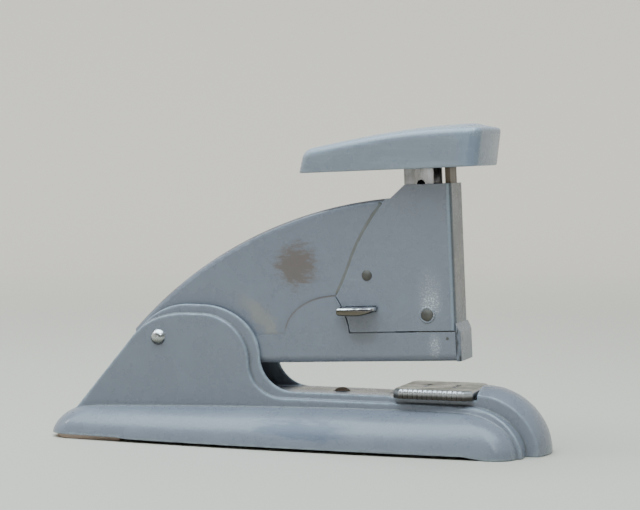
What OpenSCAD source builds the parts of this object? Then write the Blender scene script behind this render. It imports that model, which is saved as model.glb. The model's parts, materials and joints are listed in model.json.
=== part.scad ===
// Heavy-duty plunger desk stapler. Millimetres, +X to the front, +Z up.
// The origin is on the table under the middle of the base.
// The magazine, arm, head and plunger are drawn level, with the hinge pin at their origin,
// and are then tilted to their rest angle on the pin.

/* [Base] */
// Length of the base on the table
base_length = 270; // [262:1:284]
// Width of the base on the table
base_width = 77; // [72:1:86]
// Height of the deck that carries the anvil
deck_height = 28; // [26:0.5:30]
// Wall of the base casting
casting_wall = 2.6; // [2:0.1:3.2]
// Height of the rim band along the deck and the ears
rim_band = 3.5; // [3:0.5:6]
// Height of the side band between the rim and the skirt
side_band = 3.5; // [3:0.5:6]
// Fall of the skirt's upper edge towards the tail
tail_fall = 5; // [0:0.5:6]
// Wall of the ears inside the rim
rim_wall = 2; // [1.6:0.1:3]
// Step from the rim out to the side band
rim_step = 2; // [1:0.1:3]
// Thickness of the pad under the tail
pad_thickness = 3.2; // [2:0.2:5]
// Length of the pad under the tail
pad_length = 46; // [36:1:56]
// Lift of the skirt's lower edge off the table
skirt_lift = 1.6; // [1:0.2:2.4]

/* [Ears and hinge] */
// Distance of the hinge pin from the tail
pin_setback = 60; // [56:1:66]
// Height of the hinge pin above the table
pin_height = 54.6; // [53:0.2:58]
// Diameter of the hinge pin
pin_diameter = 5; // [4:0.5:6]
// Diameter of the pin's domed heads
pin_head = 8.4; // [7.2:0.2:10]
// Height of the ears above the hinge pin
ear_rise = 17.9; // [16:0.5:22]
// Reach of the ears in front of the hinge pin
ear_reach = 57; // [50:1:62]

/* [Arm and head] */
// Angle of the arm at rest
rest_tilt = 2.5; // [1.5:0.1:4]
// Distance from the hinge pin to the front of the head
head_reach = 163; // [158:1:170]
// Height of the head above the hinge pin
head_rise = 75.8; // [72:0.5:82]
// Length of the head at its top chamfer's foot
head_length = 32.2; // [31:0.2:36]
// Width of the head and of the magazine
head_width = 24.4; // [23.6:0.2:28]
// Sheet of the arm, head and magazine
sheet = 1.1; // [0.8:0.1:1.4]
// Bow of the arm's back between its ends
arm_bow = 15; // [12:0.5:18]
// Rounding of the arm's back
arm_round = 3; // [2:0.5:5]
// Depth of the front plate
plate_depth = 2.2; // [1.6:0.2:4]

/* [Magazine] */
// Depth of the magazine below the hinge pin
magazine_depth = 15; // [14:0.5:17]
// Distance from the head's front back to the top of the arch
arch_setback = 64.2; // [60:0.2:67]
// Length of the arch
arch_length = 28.4; // [24:0.5:32]
// Rise of the arch
arch_rise = 19.6; // [17:0.5:23]
// Width of the staple rail
rail_width = 12; // [10:0.5:13]
// Diameter of the pusher's guide rod
rod_diameter = 3; // [2.4:0.2:3.6]
// Length of the pusher
pusher_length = 22; // [16:1:30]

/* [Plunger] */
// Travel of the plunger
plunger_stroke = 16; // [12:0.5:18]
// Length of the knob
knob_length = 99; // [94:1:106]
// Width of the knob at its front
knob_width = 48; // [44:1:52]
// Width of the knob at its rear
knob_rear_width = 34; // [34:1:40]
// Height of the knob above its lower edge
knob_height = 21; // [20:0.5:25]
// Gap between the knob's lower edge and the head at rest
knob_gap = 8.5; // [8:0.5:12]
// Wall of the knob
knob_wall = 3.2; // [2.4:0.2:4]
// Length of the plunger channel's side
channel_length = 15.5; // [14:0.5:17]
// Width of the plunger channel
channel_width = 18; // [16:0.5:18]
// Sheet of the plunger channel
channel_sheet = 1.3; // [1:0.1:1.8]
// Thickness of the driver bar
bar_thickness = 2.7; // [2.2:0.1:3.2]
// Width of the driver bar
bar_width = 13; // [12:0.5:14]
// Thickness of the driver blade
blade_thickness = 1.2; // [0.9:0.1:1.4]

/* [Anvil] */
// Side of the anvil plate
anvil_side = 42; // [38:1:46]
// Thickness of the anvil plate
anvil_thickness = 5; // [4:0.2:5.4]
// Diameter of the anvil's stem
stem_diameter = 8; // [6:0.5:10]
// Diameter of the push button under the anvil
button_diameter = 15; // [13:0.5:18]
// Distance from the driver blade back to the anvil's stem
clinch_offset = 7.7; // [6:0.1:9]

/* [Latch] */
// Length of the latch's thumb tab
tab_length = 20.5; // [16:0.5:22]
// Reach of the thumb tab out of the head's side
tab_reach = 7; // [5:0.5:9]
// Thickness of the latch
latch_thickness = 2.5; // [2:0.1:3]
// Travel of the latch
latch_travel = 5; // [4:0.5:6]

/* [Hidden] */
$fn = 48;

// Clearances
seat_gap = 0.1;
slide_gap = 0.25;
pin_gap = 0.05;
press_gap = 0.02;
nest_gap = 0.15;
ear_gap = 0.4;
seam_gap = 0.7;
loose_gap = 0.3;
cut = 1;
beyond = 20;

// Half widths, from the inside out
head_half = head_width / 2;
shell_inner = head_half - sheet;
arm_half = shell_inner - nest_gap;
arm_inner = arm_half - sheet;
ear_inner = head_half + ear_gap;
deck_half = ear_inner + rim_wall;
wall_half = deck_half + rim_step;

// Heights and lengths of the base
base_half = base_length / 2;
step_height = deck_height - rim_band;
crease_height = step_height - side_band;
tail_crease = crease_height - tail_fall;
deck_under = deck_height - casting_wall;
pin_x = -base_half + pin_setback;
ear_top = pin_height + ear_rise;
ear_front = pin_x + ear_reach;

// Skirt: quarter ellipses between the table and the crease under the side band
skirt_steps = 7;
skirt_bury = 1;
slice = 0.5;
tail_run = 16;
tail_taper = 5.5;
tail_corner = 16;
skirt_front = base_half - 12;
nose_run = 31;
skirt_corner = 10;

// Nose: the side band fans out and rolls down to the table, and so does the deck
nose_steps = 8;
fan_root = base_half - 80;
fan_front = base_half - 9.7;
fan_run = 31.5;
fan_spread = 8;
deck_nose_run = 34;
deck_nose_bow = 3.5;
nose_rise = 2.5;
nose_crown = 3.5;

// Ear outline
tail_slope_foot = [-base_half + 8, 10.9];
tail_slope_top = [pin_x - 15, pin_height + 0.2];
tail_slope = [tail_slope_top.x - tail_slope_foot.x, tail_slope_top.y - tail_slope_foot.y];
tail_step = 0.8;
crest_share = 1.2;
front_share = 1.4;
ear_crest = pin_x + 24;
crest_flat = 7;
ear_waist = 17.8;
ear_flare = 19;
stop_width = 4;
stop_height = 4;
hollow_setback = 30;
edge_ramp = 4;
nose_ramp = 10;
nose_rest = 15;
pad_inset = 2.2;
pin_dome = 2.4;
pin_tip = 1.5;
bush_wall = 2;

// Arm, level on the pin
head_front = head_reach;
head_back = head_front - head_length;
chamfer_run = 7.8;
chamfer_drop = 6.6;
shoulder_rise = head_rise - chamfer_drop;
head_corner = 3;
arm_tail = [-16, 4.4];
arm_neck = [head_back, shoulder_rise + 0.1];
arm_chord = norm(arm_neck - arm_tail);
arm_radius = (arm_chord * arm_chord / 4 + arm_bow * arm_bow) / (2 * arm_bow);
arm_mid = (arm_neck + arm_tail) / 2;
arm_normal = [arm_neck.y - arm_tail.y, arm_tail.x - arm_neck.x] / arm_chord;
arm_centre = arm_mid + arm_normal * (arm_radius - arm_bow);
arm_overlap = 5;

// Magazine, level on the pin
arch_top = head_front - arch_setback;
gap_slant = 6.9;
gap_bow = 6.2;
cover_top = 0.1;
cover_front = head_front - loose_gap;
cover_round = 4;
tail_reach = 12;
tail_drop = 8.5;
cover_heel = 8;
cover_neck = 46;
lobe = 9;
cover_floor = -magazine_depth + sheet;
rail_front = head_front - 3;
rail_back = 20;
rail_sheet = 1.2;
rail_half = rail_width / 2;
rail_top = -2.2;
rail_slot = 3.2;
strip_sheet = 0.8;
pusher_sheet = 0.9;
lane_half = rail_half + slide_gap + pusher_sheet + slide_gap;
strip_half = lane_half + strip_sheet;
strip_floor = cover_floor + strip_sheet;
rod_z = (rail_top - rail_sheet + strip_floor) / 2;
bracket_length = 3.5;
ring_length = 4;
ring_back = rail_front - pusher_length + 6;
ring_wall = 1.1;

// Plunger, level on the pin
knob_bottom = head_rise + knob_gap;
knob_top = knob_bottom + knob_height;
knob_ceiling = knob_bottom + 11.3;
knob_rear_drop = 4.5;
knob_front = head_front + 19;
knob_back = knob_front - knob_length;
knob_centre = (knob_front + knob_back) / 2;
cross_thickness = 2.4;
cross_end = 6;
cross_bottom = knob_ceiling - cross_thickness;
bar_front = head_front - sheet - loose_gap;
bar_back = bar_front - bar_thickness;
blade_back = bar_front - blade_thickness;
blade_tip = -magazine_depth + 0.4 + plunger_stroke;
blade_top = blade_tip + 32;
bar_tip = blade_tip + 16;
channel_front = bar_back - 5.6;
channel_back = channel_front - channel_length;
channel_half = channel_width / 2;
channel_foot = head_rise - 34;
spring_x = channel_back + channel_sheet + (channel_length - channel_sheet) / 2 - 0.8;
guide_foot = head_rise - 26;
guide_setback = 3;
block_foot = 1.2;
block_top = 16;
block_back = head_back + 1;
block_front = bar_back - 0.5;
screw_rear = head_back - 11;
screw_front = head_front + 9;
screw_shank = 4;
screw_bite = 5;

// Rivets through the head, with the diameter of each one's heads
rivet_shank = 3.4;
rivets = [[head_front - 46.3, 29.9, 5.6], [head_front - 14.8, 8.7, 6.5]];
rivet_dome = 1.2;

// Latch, level on the pin
latch_z = 12.7;
latch_root = arch_top + 5.7;
latch_root_length = 8.5;
tab_setback = 2.3;
tab_height = 4.6;
latch_inner = strip_half - loose_gap;
latch_arm = 3.8;
latch_nose = latch_root - 9.5;
catch_lip = 3;
catch_sheet = 1;

// Anvil
anvil_x = pin_x + blade_back - 0.6 - clinch_offset;
seat_sink = 0.6;
anvil_foot = deck_height + seat_gap - seat_sink;
button_top = 12.5;
button_height = 3.5;
collar_bottom = button_top + loose_gap;
collar_height = 1.2;
collar_inset = 1;
leaf_sheet = 0.9;
leaf_width = 13;
leaf_tail = 7;
leaf_tip = 9.5;
leaf_end = collar_bottom + collar_height + loose_gap;
leaf_rivet_x = 23;
leaf_rivet_shank = 4;
leaf_rivet_head = 8.4;
leaf_rivet_dome = 1.8;
leaf_rivet_tail = 7;

// Arm spring
lift_x = 30;
cup_height = 2;
stud_diameter = 6;

// Colours
enamel = [0.47, 0.51, 0.54];
chrome = [0.80, 0.80, 0.78];
steel = [0.62, 0.61, 0.58];
dull_steel = [0.55, 0.53, 0.50];
rusty = [0.45, 0.31, 0.22];
rubber = [0.50, 0.42, 0.41];

// Points of an elliptic arc in a plane
function arc(centre, rx, ry, from, to, steps = 12) = [
    for (i = [0 : steps])
        let (a = from + (to - from) * i / steps)
        [centre.x + rx * cos(a), centre.y + ry * sin(a)]
];

// Points of a curve that leaves the first point and enters the last one along lines through the middle one
function bend(first, middle, last, steps = 10) = [
    for (i = [0 : steps])
        let (t = i / steps)
        first * (1 - t) * (1 - t) + middle * 2 * t * (1 - t) + last * t * t
];

// Extrudes a side view across the width
module side_view(width) {
    rotate([90, 0, 0]) linear_extrude(height = width, center = true) children();
}

// Extrudes a front view, drawn in Y and Z, along X
module front_view(from, to) {
    translate([from, 0, 0]) rotate([90, 0, 90]) linear_extrude(height = to - from) children();
}

// Block between two corners
module block(low, high) {
    translate(low) cube(high - low);
}

// Cylinder along Y, centred on the middle plane
module cross_pin(x, z, diameter, length) {
    translate([x, 0, z]) rotate([90, 0, 0]) cylinder(d = diameter, h = length, center = true);
}

// Domed head on a face at y = 0, rising towards -Y
module dome(diameter, height) {
    ball = (diameter * diameter / 4 + height * height) / (2 * height);
    intersection() {
        translate([0, ball - height, 0]) sphere(r = ball);
        rotate([90, 0, 0]) cylinder(d = diameter, h = height);
    }
}

// Rectangle with its front corners rounded, drawn in X and Y
module plan(back, front, half, corner) {
    translate([back, -half]) square([front - corner - back, 2 * half]);
    translate([back, corner - half]) square([front - back, 2 * (half - corner)]);
    for (side = [-1, 1]) {
        translate([front - corner, side * (half - corner)]) circle(r = corner);
    }
}

// Puts what is drawn level on the pin at its rest angle
module at_rest() {
    translate([pin_x, 0, pin_height]) rotate([0, -rest_tilt, 0]) children();
}

// Centre line of a coil spring
function coil_path(radius, wire, length, turns, rings) = [
    for (i = [0 : turns * rings])
        let (a = 360 * i / rings, t = i / (turns * rings))
        [radius * cos(a), radius * sin(a), wire / 2 + (length - wire) * t]
];

// Least clear gap between neighbouring curls of a coil's centre line
function coil_gap(path, wire, rings) = min([
    for (i = [0 : len(path) - 1], j = [i + floor(rings / 2) : min(i + 2 * rings, len(path) - 1)])
        if (j < len(path)) norm(path[i] - path[j])
]) - wire;

// Coil spring along Z as one unbroken tube
module coil_spring(name, radius, wire, length, turns, rings, sides) {
    path = coil_path(radius, wire, length, turns, rings);
    echo(str("least gap in ", name), coil_gap(path, wire, rings));
    climb = (length - wire) / (turns * 2 * PI * radius);
    points = [
        for (i = [0 : len(path) - 1], k = [0 : sides - 1])
            let (a = 360 * i / rings, b = 360 * k / sides)
            let (out = [cos(a), sin(a), 0], up = [sin(a) * climb, -cos(a) * climb, 1] / norm([climb, 1]))
            path[i] + (out * cos(b) + up * sin(b)) * wire / 2
    ];
    last = (len(path) - 1) * sides;
    faces = concat(
        [for (i = [0 : len(path) - 2], k = [0 : sides - 1])
            let (n = (k + 1) % sides)
            [i * sides + k, (i + 1) * sides + k, (i + 1) * sides + n]],
        [for (i = [0 : len(path) - 2], k = [0 : sides - 1])
            let (n = (k + 1) % sides)
            [i * sides + k, (i + 1) * sides + n, i * sides + n]],
        [for (k = [1 : sides - 2]) [0, k, k + 1]],
        [for (k = [1 : sides - 2]) [last, last + k + 1, last + k]]
    );
    polyhedron(points = points, faces = faces);
}

// Base

// Discs that outline one level of the skirt, for a hull
module skirt_level(angle, inset) {
    run = 1 - cos(angle);
    half = base_width / 2 - (base_width / 2 - wall_half + skirt_bury) * run - inset;
    back = -base_half + tail_run * run + inset;
    front = skirt_front - nose_run * run - inset;
    tail_round = min(tail_corner, half - tail_taper);
    front_round = min(skirt_corner, half);
    rise = (crease_height - inset - slice) * sin(angle);
    tail_rise = (tail_crease - inset - slice) * sin(angle);
    for (side = [-1, 1]) {
        translate([back + tail_round, side * (half - tail_taper - tail_round), tail_rise])
            cylinder(r = tail_round, h = slice);
        translate([0, side * (half - 1), rise]) cylinder(r = 1, h = slice);
        translate([front - front_round, side * (half - front_round), rise])
            cylinder(r = front_round, h = slice);
    }
}

module skirt(inset) {
    hull() {
        for (i = [0 : skirt_steps]) skirt_level(90 * i / skirt_steps, inset, $fn = 32);
    }
}

// Upright end where the nose meets the straight part of the base
module nose_root(half, height) {
    block([fan_root, -half, 0], [fan_root + slice, half, height]);
}

// Fan of the side band over the nose
module fan(inset) {
    corner = 2;
    hull() {
        nose_root(wall_half - inset, step_height - inset);
        for (i = [0 : nose_steps], side = [-1, 1]) {
            angle = 90 * i / nose_steps;
            front = fan_front - fan_run * (1 - cos(angle)) - inset;
            half = wall_half + fan_spread * cos(angle) - inset;
            translate([front - corner, side * (half - corner), (step_height - inset - slice) * sin(angle)])
                cylinder(r = corner, h = slice, $fn = 16);
        }
    }
}

// Deck over the nose, crowned and rolled down to the table
module deck_nose(inset, rise, crown) {
    corner = 2;
    bow_round = 8;
    half = deck_half - inset;
    hull() {
        nose_root(half, deck_height - inset);
        for (i = [0 : nose_steps]) {
            angle = 90 * i / nose_steps;
            front = base_half - deck_nose_run * (1 - cos(angle)) - inset;
            side_level = (deck_height + rise - inset - slice) * sin(angle);
            translate([front - bow_round, 0, side_level + crown * sin(angle)])
                cylinder(r = bow_round, h = slice, $fn = 32);
            for (side = [-1, 1]) {
                translate([front - deck_nose_bow - corner, side * (half - corner), side_level])
                    cylinder(r = corner, h = slice, $fn = 16);
            }
        }
    }
}

// Side view of the ears with the deck behind the nose, lowered by a band
function ear_outline(band, deck) =
    let (foot = tail_slope_foot + [tail_step * (1 - band / rim_band), 0])
    let (rim = crest_share * (rim_band - band) / norm(tail_slope))
    let (slope_end = tail_slope_top + foot - tail_slope_foot + tail_slope * rim)
    let (crest = ear_top - crest_share * band, front = ear_front - front_share * band)
    let (waist = deck + ear_waist)
    let (shoulder = slope_end + tail_slope * (crest - slope_end.y) / tail_slope.y)
    concat(
        [[fan_root, deck], [fan_root, foot.y], foot],
        bend(slope_end, shoulder, [ear_crest - crest_flat, crest]),
        arc([ear_crest, waist], front - ear_crest, crest - waist, 82.5, 0, 11),
        arc([front + ear_flare, waist], ear_flare, ear_waist, 187.5, 270, 11)
    );

// Hollow under the deck
module under_deck() {
    inner = wall_half - casting_wall - cut;
    block([tail_slope_foot.x + hollow_setback, -inner, -cut], [fan_root + cut, inner, deck_under]);
}

// Lower edge of the casting: lifted for the pad and along the sides
module lower_edge() {
    pad_front = -base_half + pad_length;
    nose_foot = skirt_front - nose_rest;
    side_view(base_width + 2 * cut)
        polygon([
            [-base_half - cut, -cut], [-base_half - cut, pad_thickness], [pad_front, pad_thickness],
            [pad_front + edge_ramp, skirt_lift], [nose_foot - nose_ramp, skirt_lift],
            [nose_foot, 0], [nose_foot, -cut]
        ]);
}

// Ledges inside the ears that stop the magazine's tail at rest
module stop_ledges() {
    top = -tail_drop - nest_gap;
    inner = arm_half + nest_gap;
    outer = ear_inner + cut;
    at_rest() {
        for (side = [-1, 1]) {
            translate([-tail_reach, side * (inner + outer) / 2, top - stop_height / 2])
                cube([2 * stop_width, outer - inner, stop_height], center = true);
        }
    }
}

// Round seat in which the anvil can turn
module anvil_seat() {
    sweep = norm([anvil_side / 2, anvil_side / 2 - anvil_chamfer]) + loose_gap;
    translate([anvil_x, 0, deck_height - seat_sink])
        cylinder(r = sweep, h = seat_sink + nose_rise + nose_crown + cut, $fn = 96);
}

module base_casting() {
    color(enamel) difference() {
        union() {
            skirt(0);
            fan(0);
            deck_nose(0, nose_rise, nose_crown);
            side_view(2 * wall_half) polygon(ear_outline(rim_band, step_height));
            side_view(2 * deck_half) polygon(ear_outline(0, deck_height));
        }
        difference() {
            block([-base_half, -ear_inner, deck_height], [fan_root - cut, ear_inner, ear_top + cut]);
            intersection() {
                stop_ledges();
                block([-base_half, -base_width, 0], [pin_x - tail_reach + ear_gap, base_width, ear_top]);
            }
        }
        skirt(casting_wall);
        under_deck();
        fan(casting_wall);
        deck_nose(casting_wall + slice, 0, 0);
        lower_edge();
        anvil_seat();
        cross_pin(pin_x, pin_height, pin_diameter + 2 * press_gap, base_width);
        translate([anvil_x, 0, 0]) cylinder(d = stem_diameter + 2 * slide_gap, h = deck_height + cut);
        translate([leaf_rivet_x, 0, 0]) cylinder(d = leaf_rivet_shank + 2 * press_gap, h = deck_height + cut);
    }
}

module rear_foot_pad() {
    back = -base_half + pad_inset;
    front = -base_half + pad_length - pad_inset;
    half = base_width / 2 - tail_taper - pad_inset;
    corner = tail_corner - pad_inset;
    color(rubber) mirror([1, 0, 0]) linear_extrude(height = pad_thickness) plan(-front, -back, half, corner);
}

module hinge_pin() {
    color(chrome) {
        cross_pin(pin_x, pin_height, pin_diameter, 2 * (wall_half + pin_tip));
        translate([pin_x, -wall_half, pin_height]) dome(pin_head, pin_dome);
    }
}

module hinge_pin_cap() {
    color(chrome) difference() {
        translate([pin_x, wall_half, pin_height]) mirror([0, 1, 0]) dome(pin_head, pin_dome);
        cross_pin(pin_x, pin_height, pin_diameter + 2 * press_gap, 2 * (wall_half + pin_tip + press_gap));
    }
}

module hinge_bush() {
    color(steel) difference() {
        cross_pin(pin_x, pin_height, pin_diameter + 2 * bush_wall, 2 * (arm_inner - slide_gap));
        cross_pin(pin_x, pin_height, pin_diameter + 2 * pin_gap, base_width);
    }
}

// Where the arm spring meets its cup, in the base's frame
cup_foot = magazine_depth + cup_height;
lift_spring_x = pin_x + lift_x * cos(rest_tilt) + cup_foot * sin(rest_tilt);
lift_spring_top = pin_height + lift_x * sin(rest_tilt) - cup_foot * cos(rest_tilt);
lift_radius = 4.6;
lift_wire = 1.2;
cup_rim = 0.6;
cup_stud = 1.5;
stud_height = 3;

module arm_spring() {
    length = lift_spring_top - deck_height - (lift_radius + lift_wire) * sin(rest_tilt) - 3 * seat_gap;
    color(steel) translate([lift_spring_x, 0, deck_height + seat_gap])
        coil_spring("arm_spring", lift_radius, lift_wire, length, 4, 8, 6);
}

module spring_stud() {
    color(steel) translate([lift_spring_x, 0, deck_height]) cylinder(d = stud_diameter, h = stud_height);
}

module leaf_spring() {
    top = deck_under;
    foot = leaf_end;
    rise = [
        [leaf_rivet_x - leaf_tail, top], [leaf_rivet_x + leaf_tail, top],
        [anvil_x - leaf_tip, foot + leaf_sheet], [anvil_x + leaf_tip, foot + leaf_sheet]
    ];
    drop = [for (i = [3 : -1 : 0]) rise[i] - [0, leaf_sheet]];
    color(steel) difference() {
        side_view(leaf_width) polygon(concat(rise, drop));
        translate([anvil_x, 0, 0]) cylinder(d = stem_diameter + 4 * slide_gap, h = deck_height);
        translate([leaf_rivet_x, 0, 0]) cylinder(d = leaf_rivet_shank + 2 * press_gap, h = deck_height);
    }
}

module leaf_rivet() {
    under = deck_under - leaf_sheet;
    color(rusty) translate([leaf_rivet_x, 0, 0]) {
        translate([0, 0, under]) cylinder(d = leaf_rivet_shank, h = deck_height - under);
        translate([0, 0, deck_height]) rotate([-90, 0, 0]) dome(leaf_rivet_head, leaf_rivet_dome);
        translate([0, 0, under]) rotate([90, 0, 0]) dome(leaf_rivet_tail, leaf_rivet_dome);
    }
}

// Anvil

// Outline of the anvil plate: chamfered corners and milled edges at both sides
tooth_pitch = 2;
tooth_depth = 0.5;
anvil_chamfer = 4;
pocket_length = 2.4;
pocket_width = 4.8;
pocket_depth = 0.9;
function milled_edge(half, flank) =
    let (count = floor((half - anvil_chamfer) / tooth_pitch))
    [for (i = [-2 * count : 2 * count])
        [i * tooth_pitch / 2, flank * (half - (i % 2 == 0 ? 0 : tooth_depth))]];
function reversed(list) = [for (i = [len(list) - 1 : -1 : 0]) list[i]];

module anvil_plate() {
    half = anvil_side / 2;
    waist = half - anvil_chamfer;
    pocket_y = rail_half - pocket_width / 2 + loose_gap;
    color(steel) translate([anvil_x, 0, anvil_foot]) difference() {
        linear_extrude(height = anvil_thickness)
            polygon(concat(
                [[-half, waist], [-half, -waist]], milled_edge(half, -1),
                [[half, -waist], [half, waist]], reversed(milled_edge(half, 1))
            ));
        for (end = [-1, 1], side = [-1, 1]) {
            translate([end * clinch_offset, side * pocket_y, anvil_thickness])
                cube([pocket_length, pocket_width, 2 * pocket_depth], center = true);
        }
    }
}

module anvil_stem() {
    color(steel) translate([anvil_x, 0, 0]) {
        translate([0, 0, button_top - button_height]) cylinder(d = button_diameter, h = button_height);
        translate([0, 0, button_top]) cylinder(d = stem_diameter, h = anvil_foot - button_top);
    }
}

module anvil_collar() {
    color(steel) translate([anvil_x, 0, collar_bottom]) difference() {
        cylinder(d = button_diameter - 2 * collar_inset, h = collar_height);
        translate([0, 0, -cut]) cylinder(d = stem_diameter + 2 * slide_gap, h = collar_height + 2 * cut);
    }
}

// Magazine

// Trough section with its lower edges rolled, drawn in Y and Z
module trough(half, floor_z, corner, top) {
    translate([-half, floor_z + corner]) square([2 * half, top - floor_z - corner]);
    translate([corner - half, floor_z]) square([2 * (half - corner), top - floor_z]);
    for (side = [-1, 1]) {
        translate([side * (half - corner), floor_z + corner]) circle(r = corner);
    }
}

// Front of the arch, where the head meets the magazine
gap_middle = [arch_top + gap_bow, arch_rise / 2];
gap_curve = bend([arch_top, arch_rise], gap_middle, [arch_top + gap_slant, cover_top]);
cover_outline = concat(
    [[cover_front, cover_top], [cover_front, -magazine_depth], [cover_heel, -magazine_depth]],
    [[-tail_reach, -tail_drop], [-tail_reach, 0]],
    arc([0, 0], lobe, lobe, 135, 60, 5),
    [[cover_neck, 0]],
    arc([arch_top, 0], arch_length, arch_rise, 180, 90),
    gap_curve
);

// Rivets that hold the staple channel inside the cover
channel_rivet = 1.6;
channel_rivet_setback = 12;
channel_rivet_drop = 1.1;
channel_rivet_places = [
    [rail_front - channel_rivet, rail_top - channel_rivet_drop], [rail_back + channel_rivet_setback, rod_z]
];

module channel_rivet_holes() {
    for (place = channel_rivet_places) {
        cross_pin(place.x, place.y, channel_rivet + 2 * press_gap, head_width + cut);
    }
}

module magazine_cover() {
    color(enamel) at_rest() difference() {
        intersection() {
            front_view(-tail_reach - cut, cover_front + cut)
                trough(head_half, -magazine_depth, cover_round, arch_rise + cut);
            side_view(head_width + cut) polygon(cover_outline);
        }
        front_view(-tail_reach - 2 * cut, cover_front + 2 * cut)
            trough(shell_inner, cover_floor, cover_round - sheet, arch_rise + 2 * cut);
        block([rail_front, -strip_half, -magazine_depth - cut], [cover_front + cut, strip_half, 0]);
        cross_pin(0, 0, pin_diameter + 2 * pin_gap, head_width + cut);
        channel_rivet_holes();
    }
}

module staple_channel() {
    top = cover_top - strip_sheet;
    color(steel) at_rest() difference() {
        block([rail_back, -strip_half, cover_floor], [rail_front, strip_half, top]);
        block([rail_back - cut, -lane_half, strip_floor], [rail_front + cut, lane_half, top + cut]);
        channel_rivet_holes();
    }
}

module channel_rivets() {
    color(dull_steel) at_rest() {
        for (place = channel_rivet_places, side = [-1, 1]) {
            translate([place.x, side * (head_half + lane_half) / 2, place.y]) rotate([90, 0, 0])
                cylinder(d = channel_rivet, h = head_half - lane_half, center = true);
        }
    }
}

module staple_rail() {
    inner = rail_half - rail_sheet;
    color(chrome) at_rest() difference() {
        block([rail_back, -rail_half, strip_floor], [rail_front, rail_half, rail_top]);
        block([rail_back - cut, -inner, strip_floor - cut],
            [rail_front - rail_sheet, inner, rail_top - rail_sheet]);
        block([rail_back - cut, -rail_slot / 2, rod_z],
            [ring_back + 2 * ring_length, rail_slot / 2, rail_top + cut]);
        translate([rail_front - rail_sheet - cut, 0, rod_z]) rotate([0, 90, 0])
            cylinder(d = rod_diameter + 2 * press_gap, h = rail_sheet + 2 * cut);
    }
}

module rod_bracket() {
    color(steel) at_rest() difference() {
        block([rail_back - bracket_length, -rail_half, cover_floor], [rail_back, rail_half, rail_top]);
        translate([rail_back - bracket_length - cut, 0, rod_z]) rotate([0, 90, 0])
            cylinder(d = rod_diameter + 2 * press_gap, h = bracket_length + 2 * cut);
    }
}

module guide_rod() {
    color(chrome) at_rest() translate([rail_back - bracket_length, 0, rod_z]) rotate([0, 90, 0])
        cylinder(d = rod_diameter, h = rail_front - rail_back + bracket_length - press_gap);
}

module pusher() {
    back = rail_front - pusher_length;
    top = rail_top + slide_gap;
    foot = strip_floor + pusher_sheet;
    inner = rail_half + slide_gap;
    tongue = rail_slot / 2 - slide_gap;
    color(steel) at_rest() difference() {
        union() {
            block([back, -inner - pusher_sheet, top], [rail_front, inner + pusher_sheet, top + pusher_sheet]);
            for (side = [-1, 1]) {
                flank = side * (inner + pusher_sheet / 2);
                translate([rail_front - pusher_length / 2, flank, (top + foot) / 2])
                    cube([pusher_length, pusher_sheet, top - foot + pusher_sheet], center = true);
            }
            block([ring_back, -tongue, rod_z], [ring_back + ring_length, tongue, top + pusher_sheet / 2]);
            translate([ring_back, 0, rod_z]) rotate([0, 90, 0])
                cylinder(d = rod_diameter + 2 * ring_wall, h = ring_length);
        }
        translate([ring_back - cut, 0, rod_z]) rotate([0, 90, 0])
            cylinder(d = rod_diameter + 2 * pin_gap, h = ring_length + 2 * cut);
    }
}

module pusher_spring() {
    wire = 0.7;
    radius = rod_diameter / 2 + slide_gap + wire / 2;
    color(steel) at_rest() translate([rail_back + seat_gap, 0, rod_z]) rotate([0, 90, 0])
        coil_spring("pusher_spring", radius, wire, ring_back - rail_back - 2 * seat_gap, 30, 6, 4);
}

module spring_cup() {
    color(steel) at_rest() translate([lift_x, 0, -cup_foot]) {
        cylinder(r = lift_radius + lift_wire + cup_rim, h = cup_height);
        translate([0, 0, -cup_stud]) cylinder(d = stud_diameter, h = cup_stud + cup_height / 2);
    }
}

module latch_catch() {
    under = latch_z + latch_thickness / 2 + slide_gap;
    back = latch_nose - catch_lip;
    front = latch_nose + catch_lip;
    color(steel) at_rest() {
        block([back, -strip_half - catch_sheet, strip_floor], [front, -strip_half, under + catch_sheet]);
        block([back, -strip_half - catch_sheet / 2, under],
            [front, -latch_inner + latch_arm - catch_sheet, under + catch_sheet]);
    }
}

// Upper arm

// Ring whose rim is the arm's back, cut by the arm's side view
module arm_ring(radius, half, corner) {
    translate([arm_centre.x, 0, arm_centre.y]) rotate([90, 0, 0])
        rotate_extrude($fn = 180) plan(arm_radius - arm_chord, radius, half, corner);
}

module latch_slot(half) {
    spare = 3;
    tall = latch_thickness / 2 + slide_gap;
    block([latch_root - slide_gap, -half - cut, latch_z - tall],
        [latch_root + latch_root_length + latch_travel + spare, -half / 2, latch_z + tall]);
}

module rivet_holes() {
    for (rivet = rivets) {
        cross_pin(rivet.x, rivet.y, rivet_shank + 2 * press_gap, head_width + cut);
    }
}

module arm_shell() {
    front = head_back - nest_gap;
    outline = [
        arm_tail, [arm_tail.x, head_rise + beyond], [front, head_rise + beyond], [front, -arm_overlap],
        [lobe + arm_overlap, -arm_overlap], [lobe / 2, cut - lobe], [-lobe / 2, cut - lobe], [-lobe - 3, -4]
    ];
    color(enamel) at_rest() difference() {
        intersection() {
            arm_ring(arm_radius, arm_half, arm_round);
            side_view(head_width) polygon(outline);
        }
        arm_ring(arm_radius - sheet, arm_inner, arm_round - sheet);
        cross_pin(0, 0, pin_diameter + 2 * pin_gap, head_width);
        latch_slot(arm_half);
        rivet_holes();
    }
}

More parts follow.
